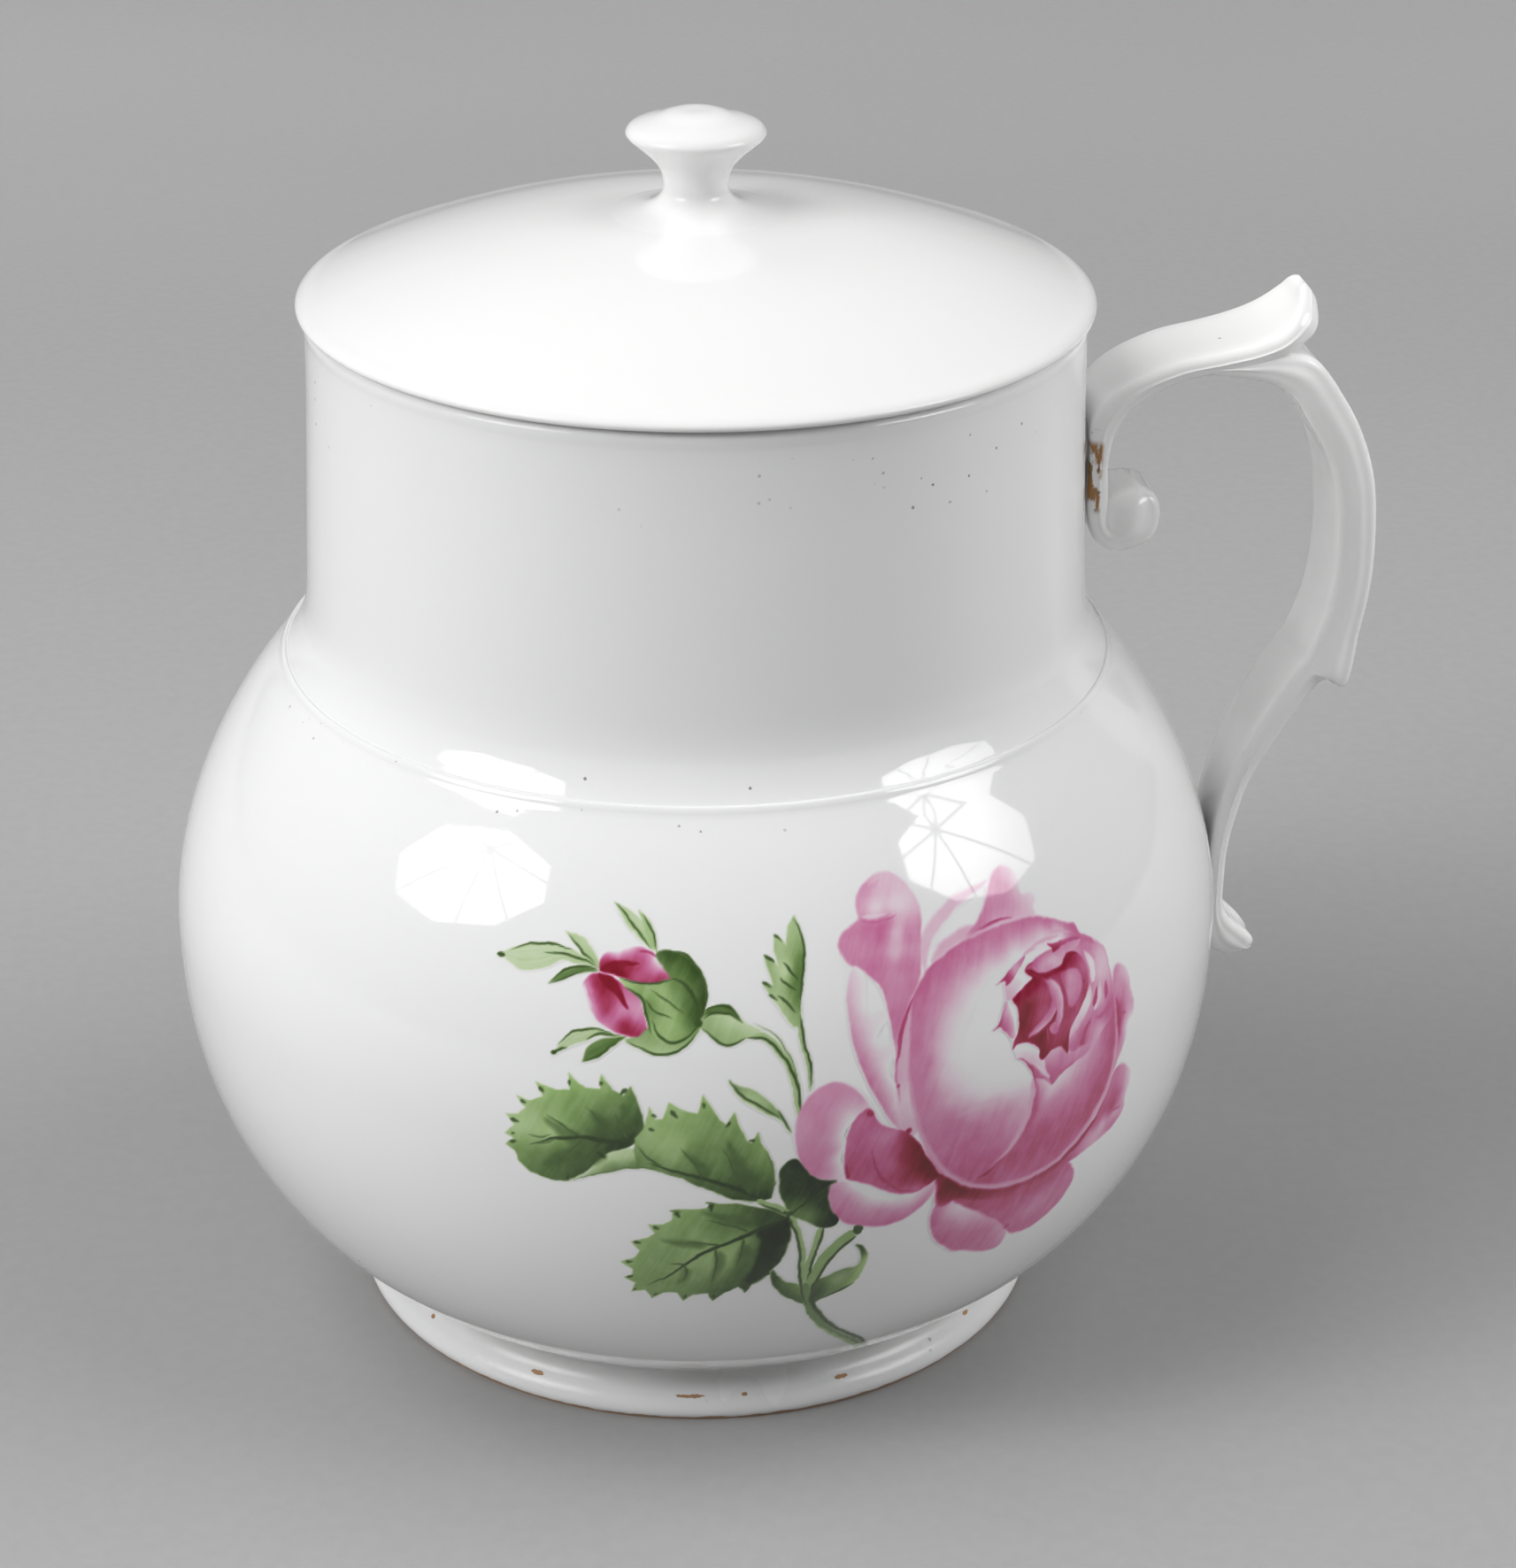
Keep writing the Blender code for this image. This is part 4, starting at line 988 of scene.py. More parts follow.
    # the petals at the right
    c.wash([
        (65.2, 10), (65.9, 12.6), (66.6, 14.1), (68, 14.4), (69.7, 13.2), (70.6, 11.2), (70.4, 9.4), (71.1, 6.5),
        (70, 3.9), (68.4, 1.2), (66.8, -1.2), (65.1, -3.6), (65.3, 0), (65.6, 5),
    ], [
        (67.5, 13.5, 0.85), (70, 11.5, 0.35), (68.5, 10, 0.95), (66.2, 10, 1.1), (66.8, 6, 2.3), (68.4, 6.8, 1.2),
        (70.7, 6.4, 0.55), (66.5, 3, 1.5), (68.3, 3.8, 0.4), (67.2, 0.6, 0.8), (65.8, -2, 1.0), (70, 8.6, 0.7),
    ], soft=0.35)
    c.stroke([(66.2, 9.4), (66.5, 7), (66.7, 4.6), (66.2, 2)], 0.8, ROSE * 2.5, taper=(0.6, 0.6))
    c.stroke([(66.6, 5.6), (67.6, 5.9), (68.6, 5.6)], 0.7, ROSE * 2.1, taper=(0.1, 0.7))
    c.wash([
        (65.4, -3.9), (67.4, -3.4), (69.2, -4.4), (70.4, -6), (70.6, -8.3), (69.5, -10.7), (69.6, -12.6), (68, -14.5),
        (64, -16), (59, -17), (55.5, -17.2), (53.4, -16), (57, -14.1), (61, -11.1), (63.5, -7.5),
    ], [
        (66.2, -4.8, 1.35), (67.2, -8, 1.7), (64.6, -8.4, 1.7), (66.3, -11.2, 2.0), (62.4, -11.6, 1.9),
        (69.8, -7, 0.35), (69.2, -10, 0.5), (69, -12.6, 0.9), (64, -13, 0.6), (60.5, -14.6, 0.9), (66, -14.2, 1.2),
        (58, -16.4, 1.5), (55, -16.4, 2.2), (67, -12.3, 0.9),
    ], soft=0.35)
    c.stroke([(53, -15.7), (56, -15.2), (59, -13.3), (62, -10.6)], 1.3, ROSE * 3.0, taper=(0.4, 0.5), soft=0.25)
    c.stroke([(64.2, -10.9), (66.6, -11.6), (68.6, -12)], 0.5, ROSE * 1.9, soft=0.25)
    # the two petals that hang below, with the bowl's shadow
    c.wash([
        (28.4, -16.6), (27.9, -19), (28.7, -22), (30.6, -25.1), (33.6, -27.7), (37.4, -29.4), (41, -31), (44.2, -31.2),
        (45.2, -29), (44.6, -27), (42, -24), (38, -20.6), (33.5, -17), (31, -15.8),
    ], [
        (28.9, -18, 1.3), (29.1, -21.4, 1.55), (31, -24.8, 1.55), (34.5, -27.5, 1.45), (39, -29.8, 1.45),
        (43.3, -30.6, 1.1), (31.7, -18.4, 0.5), (33.7, -20.6, 0.6), (36.5, -23, 0.95), (39.6, -25.4, 1.3),
        (43.3, -28.2, 0.9), (31, -20.6, 1.1), (33.4, -24, 1.4), (38, -27.4, 1.45),
    ], soft=0.4)
    c.wash([
        (30.5, -14.5), (33.5, -17.5), (37, -20.2), (41.5, -23.8), (44.7, -27.2), (46.6, -28.8), (50, -29.6),
        (54, -28.4), (57.5, -25.5), (58.8, -22.4), (57.9, -19.3), (55.8, -16.7), (54, -15), (46, -15.6), (38, -14.6),
        (33, -12),
    ], [
        (35, -17.4, 2.2), (40, -19.6, 2.2), (45, -19.3, 2.2), (50, -18.8, 2.1), (54, -17.4, 2.0), (41.4, -22.4, 1.8),
        (46, -22.8, 1.6), (50.4, -22.2, 1.4), (54.5, -20.6, 1.6), (57.8, -21.2, 1.4), (55.8, -25.2, 1.4),
        (50.5, -28, 1.5), (46, -26.8, 1.5), (48, -25, 1.3), (53, -24.4, 1.2), (43.6, -24.6, 1.7),
    ], soft=0.4)
    c.stroke([(44.4, -27), (42, -24.3), (38, -21)], 0.4, ROSE * 0.8, taper=(0.6, 0.6), soft=0.2)
    c.wash([
        (28.3, -10.2), (28.4, -13), (28.7, -16.4), (30.6, -16.7), (32.5, -15.9), (36.5, -17.6), (42, -19), (48, -18.9),
        (53, -17.6), (56.5, -14.8), (50, -15), (43, -15.6), (37, -14), (33, -11.8), (30.5, -10.4),
    ], [
        (29, -11.4, 4.6), (29.4, -14.4, 4.0), (31.5, -12.8, 6.4), (33.4, -15, 4.8), (29.8, -16.2, 3.0),
        (37, -16.8, 3.7), (44, -18, 2.8), (50, -17.9, 2.6), (54.5, -16.2, 3.0), (32, -15.6, 4.2),
    ], soft=0.5)
    c.dot(44.8, -26.7, 0.5, ROSE * 2.2, soft=0.3)
    c.stroke([(44.9, -26.8), (45.8, -28), (46.6, -28.8)], 0.5, ROSE * 1.7, taper=(0.1, 0.5), soft=0.3)


def paint_bowl(c):
    """The rose's round bowl: the big white-faced petal, the dark one behind it, and their rims."""
    c.sheet = ROSE_SHEET
    bowl = [
        (30, 25.8), (34, 27.2), (38, 28), (42, 28.3), (46, 28.3), (50, 28), (53, 27.2), (56, 25.7), (59.2, 24.2),
        (60.2, 22.3), (63, 20.3), (65, 18), (65.5, 14), (65.7, 10), (65.9, 6), (65.8, 2), (65.2, -3), (63.2, -7.5),
        (60.7, -10.7), (57.7, -13.7), (54, -15.8), (50, -16.8), (46, -17.3), (42, -16.9), (38, -15.8), (35, -14.3),
        (32, -12.3), (28.7, -9.9), (26.2, -5.5), (24.3, 0.5), (23.3, 5), (23.2, 10), (23.6, 15), (25, 21), (27.2, 23.8),
    ]
    c.wash(bowl, [
        (24.6, 10, 1.2), (24.6, 3, 1.1), (24.9, 16, 1.2), (26.5, 20.6, 1.3), (29.5, 23.4, 1.35), (33.5, 25.2, 1.3),
        (38, 26.4, 1.25), (43, 26.8, 1.2), (48, 26.8, 1.15), (53, 25.9, 1.05), (57.5, 23.8, 1.1), (59.3, 22.8, 1.5),
        (26.4, 10, 1.05), (26.5, 4, 1.1), (27.2, 15.5, 1.0), (29, 19.6, 0.95), (32.4, 22.6, 0.95), (38, 24.6, 0.95),
        (43, 25.4, 0.95), (48, 25.5, 0.7), (52, 25.1, 0.45), (28.2, 8, 0.5), (28.6, 12.5, 0.45), (30, 16.5, 0.4),
        (34, 20.7, 0.4), (39.5, 23.1, 0.35), (45, 24.2, 0.25), (55.6, 23.6, 0.25), (30.4, 10, 0.12), (32, 15, 0.1),
        (36.5, 19.6, 0.08), (42, 21.8, 0.03), (48, 23, 0.08), (52, 23.6, 0.2), (33.5, 11, 0), (38, 14, 0), (38, 8, 0),
        (42, 11, 0), (43, 6, 0), (36.5, 4, 0.03), (41.5, 3.2, 0.02), (31.2, 6, 0.2), (33, 3.2, 0.25), (29, 3.2, 0.7),
        (36.6, 1.6, 0.2), (41, 1.5, 0.15), (44.6, 2.6, 0), (27.4, -1, 1.2), (31, -0.4, 1.0), (35, -0.6, 0.75),
        (39.5, -0.6, 0.65), (43, -0.2, 0.4), (29.5, -4.6, 1.35), (34, -4.2, 1.3), (38.4, -4, 1.15), (42.4, -3.2, 0.8),
        (31.6, -8, 1.55), (36, -7.8, 1.5), (40, -7.4, 1.3), (34.6, -11.4, 1.85), (38.4, -10.8, 1.7), (44.2, -5.4, 0.7),
    ], soft=0.3)
    c.stroke([(31, -0.6), (34, 0.6), (37.4, 0.9), (40.6, 0.5)], 0.9, ROSE * 0.5, soft=0.45, strength=0.5)
    # the petal behind, from the light edge round to the right
    c.wash([
        (46.5, 2.6), (46.3, -1), (45.6, -4.5), (43.7, -8), (41.2, -10.4), (37.5, -12.5), (34.8, -14), (38, -15.6),
        (42, -16.7), (46, -17.1), (50, -16.7), (54, -15.5), (57.6, -13.4), (60.5, -10.5), (63, -7.3), (65, -3),
        (65.7, 2), (65.7, 6), (65.5, 10), (65.3, 14), (64.8, 18), (62.5, 20), (58, 12), (56, 6), (52, 2.4), (50, 1.4),
        (48.5, 2.4),
    ], [
        (48.2, 0.4, 0.5), (51.3, -0.6, 0.3), (49.3, -1.6, 0.5), (47.8, -4.6, 1.3), (46.8, -1.6, 1.5), (53.6, 0.8, 0.25),
        (57.5, 3.6, 0.45), (51.6, -3, 0.85), (54.4, -2.4, 0.9), (57.4, -0.4, 0.95), (60, 5.4, 0.65), (61, 2, 1.15),
        (63.6, 5, 1.65), (63.8, 0, 1.8), (62.2, -3.6, 1.95), (58.6, -4, 1.5), (62.8, 9.6, 1.2), (64.3, 12, 1.2),
        (63.6, 17, 0.6), (47.6, -7.5, 1.7), (52, -6.8, 1.55), (56.2, -7.4, 1.8), (60.5, -7.6, 2.05), (44.6, -9.4, 1.8),
        (43, -12.2, 2.0), (47, -12.4, 2.05), (51, -12.2, 2.05), (55.5, -11.3, 2.0), (38.2, -13.6, 2.1),
        (42.8, -15.2, 1.6), (50, -15.2, 1.7), (56, -13.1, 1.7), (34.6, -13.2, 1.9),
    ], soft=0.3)
    c.stroke([(46.8, 1.8), (46.8, -1.4), (46.2, -4.5), (44.4, -8.2), (42, -10.8)], 1.1, ROSE * 1.95, taper=(0.4, 0.5),
             soft=0.45, strength=0.75)
    c.stroke([(46.0, 2.6), (45.9, -0.4), (45.2, -3.8), (43.4, -7.3), (41, -9.9), (38.2, -11.7)], 1.0, ROSE * 0.6,
             taper=(0.1, 0.5), soft=0.4)
    c.stroke([(35.9, -13.1), (37.4, -12.7), (39.3, -11.8)], 0.55, ROSE * 3.0, taper=(0.5, 0.5))
    # a thin light rim all round, broken at the top left
    c.stroke([
        (23.3, 14), (23.2, 8), (23.8, 3), (25, -1.6), (27, -6), (29.6, -9.8), (33, -12.9), (37, -15.1), (42, -16.5),
        (47, -16.8), (52, -16), (56.5, -13.9), (60.6, -10.3), (63.6, -6.2), (65.3, -1.4), (65.7, 4), (65.5, 9.6),
    ], 1.0, ROSE * 0.75, taper=(0.25, 0.2), soft=0.45)
    c.stroke([(30.2, 26.3), (35, 27.7), (40, 28.4), (45, 28.6), (50, 28.2), (54, 26.8)], 0.7, ROSE * 0.4,
             taper=(0.3, 0.4), soft=0.3, strength=0.8)
    c.stroke([(64.9, 10), (64.6, 5), (64.6, 0), (63.4, -4.6)], 0.9, ROSE * 1.9, taper=(0.5, 0.5), soft=0.4,
             strength=0.8)


def paint_heart(c):
    """The small petals turned in at the middle of the rose."""
    c.sheet = ROSE_SHEET
    c.wash([
        (59.4, 20), (62, 20.5), (64.4, 19), (65.2, 17), (65.3, 13), (65.1, 9.5), (64.2, 6.4), (62.2, 5.2), (60, 3.4),
        (57.8, 2.6), (57, 3.4), (54.4, 3.8), (53.6, 5.6), (54, 8), (55.6, 10), (58, 12), (59.2, 14), (59.6, 17),
    ], [
        (63.5, 17, 0.4), (62.6, 19.5, 0.9), (64.5, 14, 0.55), (62.8, 14.4, 0.45), (60, 14.8, 1.2), (61.4, 12.6, 0.8),
        (63.2, 12.2, 0.8), (64.2, 10.4, 1.2), (62.1, 10.4, 0.55), (60.6, 8.2, 1.3), (63, 8.2, 1.5), (59, 8.6, 1.0),
        (57.5, 6.4, 1.5), (55.8, 5.2, 1.6), (55, 6.8, 0.9), (59.6, 5.8, 1.0), (61.6, 6.2, 0.75), (58.4, 3.8, 1.0),
        (63.6, 6, 1.1), (60.4, 4.6, 0.7),
    ], soft=0.35)
    c.petal([(60, 19.4), (61.2, 18.6), (62, 17), (62, 15.2), (61.4, 13.9)],
            [(60, 19.4), (60.4, 17.6), (60.6, 16), (60.4, 14.8), (60.6, 13.8)], [[0.2, 0.4], [0.06, 0.1], [0.1, 0.2]],
            soft=0.25)
    c.petal([(60.2, 13.8), (59.2, 12.5), (57.4, 10.6), (55.6, 9), (54.4, 7.4), (54, 5.8)],
            [(60.2, 13.8), (60.2, 11.6), (58.8, 9.6), (56.8, 8), (55.2, 6.8), (54, 5.8)],
            [[0.15, 0.3], [0.05, 0.12], [0.2, 0.5], [0.4, 0.9]], soft=0.25)
    c.petal([(62.8, 13.4), (61.6, 11.4), (60.4, 9.4)], [(62.8, 13.4), (62.6, 11), (61, 9.2), (60.4, 9.4)],
            [[0.3, 0.3], [0.15, 0.25]], soft=0.25)
    c.stroke([(61.9, 12.9), (61.3, 11.5), (60.3, 9.9)], 1.0, ROSE * 2.2, taper=(0.5, 0.2))
    c.stroke([(64, 13), (63.8, 11.4), (63.5, 9.8)], 0.8, ROSE * 2.1, soft=0.25)
    c.stroke([(59.5, 8.2), (58.4, 7), (57, 5.2), (56.2, 4.6)], 0.8, ROSE * 2.1, taper=(0.5, 0.2), soft=0.25)
    c.dot(56.8, 4.8, 0.5, ROSE * 2.3, soft=0.3)
    c.stroke([(60.4, 7.8), (62, 7.8), (64.1, 8.8)], 0.7, ROSE * 1.8, soft=0.3)
    c.stroke([(60.5, 19.4), (62, 18.2), (62.6, 16.6)], 0.35, ROSE * 0.9, soft=0.25)
    # the fringe under the heart
    c.wash([
        (47.9, 5.2), (49.2, 6.2), (50.6, 6.5), (52, 6.2), (52.9, 5.4), (53.4, 4.2), (54.6, 3.9), (57, 4.2), (58.8, 3.8),
        (57.6, 2.5), (55, 2), (53, 1.4), (51.2, 0.7), (50.1, 0), (48.9, 1.1), (47.4, 3.2),
    ], [
        (50.4, 5.6, 0.5), (52, 4.9, 0.85), (49.4, 4.2, 0.9), (51, 2.9, 1.3), (50.3, 0.8, 1.8), (53.5, 2.7, 1.15),
        (56, 3.1, 1.0), (48.3, 3.4, 1.3), (57.9, 3.3, 1.1),
    ], soft=0.25)
    c.stroke([(50.2, 0.2), (51.6, 1.2), (53.6, 1.9), (56, 2.2)], 0.5, ROSE * 1.7, taper=(0.1, 0.6), soft=0.25)
    # the lip in front of it
    c.wash([
        (42.5, 8.9), (44.4, 9.2), (46.2, 8.6), (47.4, 7.4), (47.4, 5.6), (48.4, 4.8), (48.6, 3.4), (49.6, 1.2),
        (47.2, 2), (46.2, 3.6), (44.8, 5.6), (43, 7),
    ], [
        (43.4, 8, 0.02), (46, 7.4, 0.03), (46.9, 5.8, 0.2), (45.4, 6, 0.35), (47.8, 4.2, 0.25), (48.9, 2.2, 0.3),
    ], soft=0.2)
    c.wash(
        [(44.8, 5.5), (46, 5), (47.3, 3.8), (48.6, 2.2), (49.8, 0.3), (48.6, 1.3), (47, 2), (46.4, 2.4), (45.8, 3.8)],
        [(46.2, 4, 1.5), (47.4, 2.8, 1.3), (49, 1.1, 1.2)], soft=0.2
    )
    c.stroke([(42.6, 7), (44.3, 6), (45.6, 4.4), (46.3, 2.6), (46.6, 0.2)], 0.42, ROSE * 2.4, taper=(0.6, 0.5))
    # the dark hollow
    c.wash([
        (43.2, 16.5), (44.6, 17.2), (46.4, 18), (47.8, 18.7), (46.7, 20.1), (47.8, 21), (50, 21.2), (54, 21),
        (56.2, 20.3), (58, 19.7), (59.4, 18.6), (60, 16.6), (59.9, 14.6), (59.1, 12.6), (57.1, 10.4), (55.2, 8.9),
        (54.2, 7.4), (53.9, 5.8), (53.5, 4.1), (52.7, 5.2), (52, 5.9), (50, 6), (48.9, 5.5), (47.9, 5), (47.3, 5.6),
        (47.5, 7), (46.6, 8.1), (44.5, 9.1), (43, 9), (42.1, 8.4), (42.6, 9.8), (43.6, 11.2), (43.9, 13), (43.9, 15),
    ], [
        (44.1, 15.2, 4.4), (44.4, 12.2, 4.6), (43.4, 9.9, 3.4), (46.2, 14.5, 4.3), (45.8, 11.6, 3.8), (44.6, 16.6, 3.8),
        (47, 18, 3.8), (47.2, 16.4, 3.0), (49, 16.8, 2.8), (47.8, 13.2, 3.2), (49.6, 14, 2.6), (47.4, 11.4, 2.8),
        (49.5, 12.4, 2.2), (48, 6.8, 4.5), (47.6, 9, 4.5), (49.2, 9, 4.2), (49.4, 7.2, 3.4), (51, 7.2, 2.7),
        (51.8, 8.8, 2.4), (53.2, 6, 3.6), (53, 10.5, 2.5), (54.4, 12, 2.6), (54.2, 9.5, 2.4), (56, 11.4, 2.3),
        (57.6, 12.6, 2.2), (52.8, 17.6, 2.7), (55, 18, 3.1), (57, 19, 3.0), (58.8, 17.4, 1.9), (59.4, 14.6, 2.0),
        (58.3, 13.1, 2.4), (48.2, 19, 4.2), (47.2, 20.2, 3.4),
    ], soft=0.18)
    # the top inner petal
    c.wash([
        (46.8, 20.3), (47.8, 20.9), (49.4, 21.5), (51.4, 21.9), (53, 22.1), (55, 22.3), (57.6, 22.2), (60, 21.7),
        (59.2, 20.6), (57.6, 20.3), (56.2, 20.3), (55.4, 19.5), (54.4, 18.9), (52.6, 18.6), (50.6, 18.7), (49, 19.2),
        (48, 20),
    ], [
        (47.6, 20.5, 1.9), (50, 21.3, 1.4), (53, 21.7, 1.2), (56.6, 21.7, 1.1), (50.2, 20, 0.75), (52.6, 20.3, 0.5),
        (54.2, 19.6, 0.6), (51.4, 19.1, 0.9), (55.6, 20.8, 0.9), (58.6, 21.2, 0.8),
    ], soft=0.22)
    c.stroke(
        [(47.2, 20.2), (48.3, 19.1), (49.8, 18.5), (52, 18.3), (54, 18.3), (55.2, 18.9), (56.2, 19.8), (58.6, 19.4)],
        0.7, ROSE * 3.6, taper=(0.25, 0.3), soft=0.2
    )
    c.stroke([(54.6, 18.5), (55.8, 19.3), (57, 19.4)], 1.0, ROSE * 3.8, soft=0.25)
    # the crescents inside the hollow
    c.petal([(50, 17.9), (51.8, 17.3), (53.2, 15.8), (53.6, 13.8), (53.3, 11.6), (52.5, 9.8), (51.2, 8.2)],
            [(50, 17.9), (50.6, 16.6), (51, 14.8), (51.1, 13), (51.2, 11.4), (51.2, 10), (51.2, 8.2)],
            [[1.2, 1.7], [0.4, 1.3], [0.35, 1.5], [0.5, 1.5], [0.7, 1.4], [1.5, 1.9]], soft=0.3)
    c.petal([(45.4, 9.9), (47, 10.8), (48.8, 11.6), (50.2, 12.6), (50.9, 14)],
            [(45.4, 9.5), (47.4, 9.7), (49, 10), (50.6, 10.8), (51.7, 12.4)],
            [[1.4, 0.8], [1.2, 0.45], [1.4, 0.6], [1.5, 0.9]], soft=0.3)
    c.stroke([(47.6, 9.5), (49.3, 9.8), (50.8, 10.8), (51.9, 12.3)], 0.75, ROSE * 3.6, taper=(0.3, 0.3), soft=0.2)
    c.stroke([(49.4, 10), (49.5, 8.8), (49.4, 7.6)], 0.3, ROSE * 2.2)
    c.petal([(51.8, 8.5), (50.6, 8.4), (49.9, 9.4), (50.3, 10.2)],
            [(51.8, 8.5), (51.8, 9.6), (51.2, 10.5), (50.3, 10.2)], [[1.5, 1.3], [1.3, 1.1]], soft=0.25)
    c.wash([
        (53.9, 17.4), (55.6, 17.9), (57.4, 17.4), (58.3, 16), (58.2, 14), (57, 12.4), (55.4, 11.6), (54.5, 12.6),
        (54.3, 14.8),
    ], [
        (55.6, 16.5, 0.95), (55.3, 14.4, 0.9), (56.7, 16, 0.95), (57.4, 14.6, 1.1), (54.5, 15.6, 1.6),
        (55.6, 12.7, 1.2), (56.7, 13.2, 1.2), (54.8, 17.4, 1.6), (57.2, 17, 1.2), (56.1, 14.8, 0.9),
    ], soft=0.35)
    c.stroke([(52.6, 17.6), (53.6, 16.2), (54, 14), (53.8, 11.8), (53, 9.8)], 0.6, ROSE * 2.6, taper=(0.4, 0.4),
             soft=0.2)
    c.stroke([(58.4, 17.2), (58.7, 15.4), (58.6, 13.6)], 0.6, ROSE * 2.3, taper=(0.5, 0.5), soft=0.25)
    c.dot(58.7, 14.6, 0.3, ROSE * 2.8)
    c.stroke([(45, 17.2), (46.4, 15.6), (48.2, 14.8)], 0.6, ROSE * 3.3, soft=0.3, strength=0.6)
    # the torn tips that turn out over the white face
    c.wash([(42, 19.2), (43.6, 19.8), (45.4, 18.9), (44.6, 17.6), (43.3, 16.5), (42, 16.6), (41.9, 17.8)],
           [(43, 18.4, 0.35), (44, 17.6, 0.3), (42.4, 17, 0.5)], soft=0.3)
    c.wash([
        (40.2, 19.6), (41.6, 20), (42.5, 20.5), (43.4, 21.1), (45, 21.9), (47.2, 22.6), (46.6, 21.7), (45.2, 20.6),
        (44.2, 19.8), (43.2, 19.2), (42.3, 18.9), (42.2, 19.7),
    ], [(42.6, 20, 2.6), (43.6, 20.6, 1.5), (45.8, 21.9, 1.0), (44.6, 20.4, 0.8), (41, 19.8, 1.2)], soft=0.15)
    c.wash([
        (38.6, 12.6), (39.6, 13.2), (40.1, 13.9), (41, 15.3), (41.9, 16.5), (42.4, 15), (42.7, 13.2), (42.8, 11.6),
        (42.9, 10.4), (42.1, 10.2), (41.4, 11.2), (40.7, 12.1), (39.9, 12.9),
    ], [(39.9, 13.3, 2.3), (41.2, 14.2, 1.0), (42.2, 12.6, 0.8), (41.9, 15.9, 0.6), (42.5, 10.8, 0.5)], soft=0.15)
    c.wash([
        (52.4, 23), (53.6, 22.8), (56, 22.6), (59, 22.3), (61.4, 21.3), (58.8, 21.6), (55.6, 21.9), (54.2, 21.6),
        (53.2, 21.5), (53.2, 22.2),
    ], [(53.6, 22.1, 3.2), (55.6, 22.3, 2.0), (59, 22, 1.6), (61, 21.5, 1.2)], soft=0.15)
    c.stroke([(59, 22.2), (61.4, 21), (63.4, 19.4)], 0.9, ROSE * 1.4, taper=(0.3, 0.6), soft=0.3)
    c.stroke([(48.6, 23.4), (52, 23.8), (55.6, 23.5)], 0.6, ROSE * 0.55, soft=0.25)
    c.stroke([(46.6, 22.6), (48.4, 23.1), (50, 23.1)], 0.5, ROSE * 0.6, soft=0.25)
    c.stroke([(53, 24.6), (56, 24), (58.6, 23)], 0.5, ROSE * 0.6, soft=0.25)
    c.dot(22.9, -0.7, 0.5, ROSE * 3.0)


def paint_spray():
    c = Canvas()
    paint_leaves(c)
    paint_stems(c)
    paint_bud(c)
    paint_outer_petals(c)
    paint_bowl(c)
    paint_heart(c)
    return c


# What a coat of each enamel takes out of red, green and blue. Thick rose turns from pink to crimson.
PINK_COAT = (0.22, 1.0, 0.57)
CRIMSON_COAT = (0.29, 1.0, 0.86)
GREEN_COAT = (0.60, 0.33, 1.0)
DARK_COAT = (1.0, 0.95, 0.95)
CRIMSON_FROM = 1.8
# The brush leaves each place this much more enamel than drawn, from its thinnest to its thickest
BRUSH_THIN, BRUSH_THICK = 1.04, 1.19


def enamel_material(name):
    n = Nodes(name)
    where = object_space(n)
    coats = n.add("ShaderNodeAttribute", attribute_name="coats").outputs["Color"]
    brush = n.ramp(n.noise(where, 420.0), 0.25, 0.75, BRUSH_THIN, BRUSH_THICK)
    coats = n.vector("SCALE", {0: coats, "Scale": brush})
    rose, green, dark = n.add("ShaderNodeSeparateXYZ", {0: coats}).outputs
    thin = n.math("MINIMUM", rose, CRIMSON_FROM)
    thick = n.math("SUBTRACT", rose, thin)
    total = n.vector("SCALE", {0: PINK_COAT, "Scale": thin})
    for amount, coat in ((thick, CRIMSON_COAT), (green, GREEN_COAT), (dark, DARK_COAT)):
        total = n.vector("ADD", {0: total, 1: n.vector("SCALE", {0: coat, "Scale": amount})})
    taken_out = n.add("ShaderNodeSeparateXYZ", {0: total}).outputs
    left = n.add("ShaderNodeCombineXYZ", {k: n.math("EXPONENT", n.times(taken_out[k], -1.0)) for k in range(3)})
    colour = n.vector("MULTIPLY", {0: glaze_colour(n, where), 1: left.outputs[0]})
    return n.finish(glaze_shader(n, colour, where))


ENAMELS = {ROSE_SHEET: "enamel_rose", LEAF_SHEET: "enamel_leaves", STEM_SHEET: "enamel_stems", BUD_SHEET: "enamel_bud"}


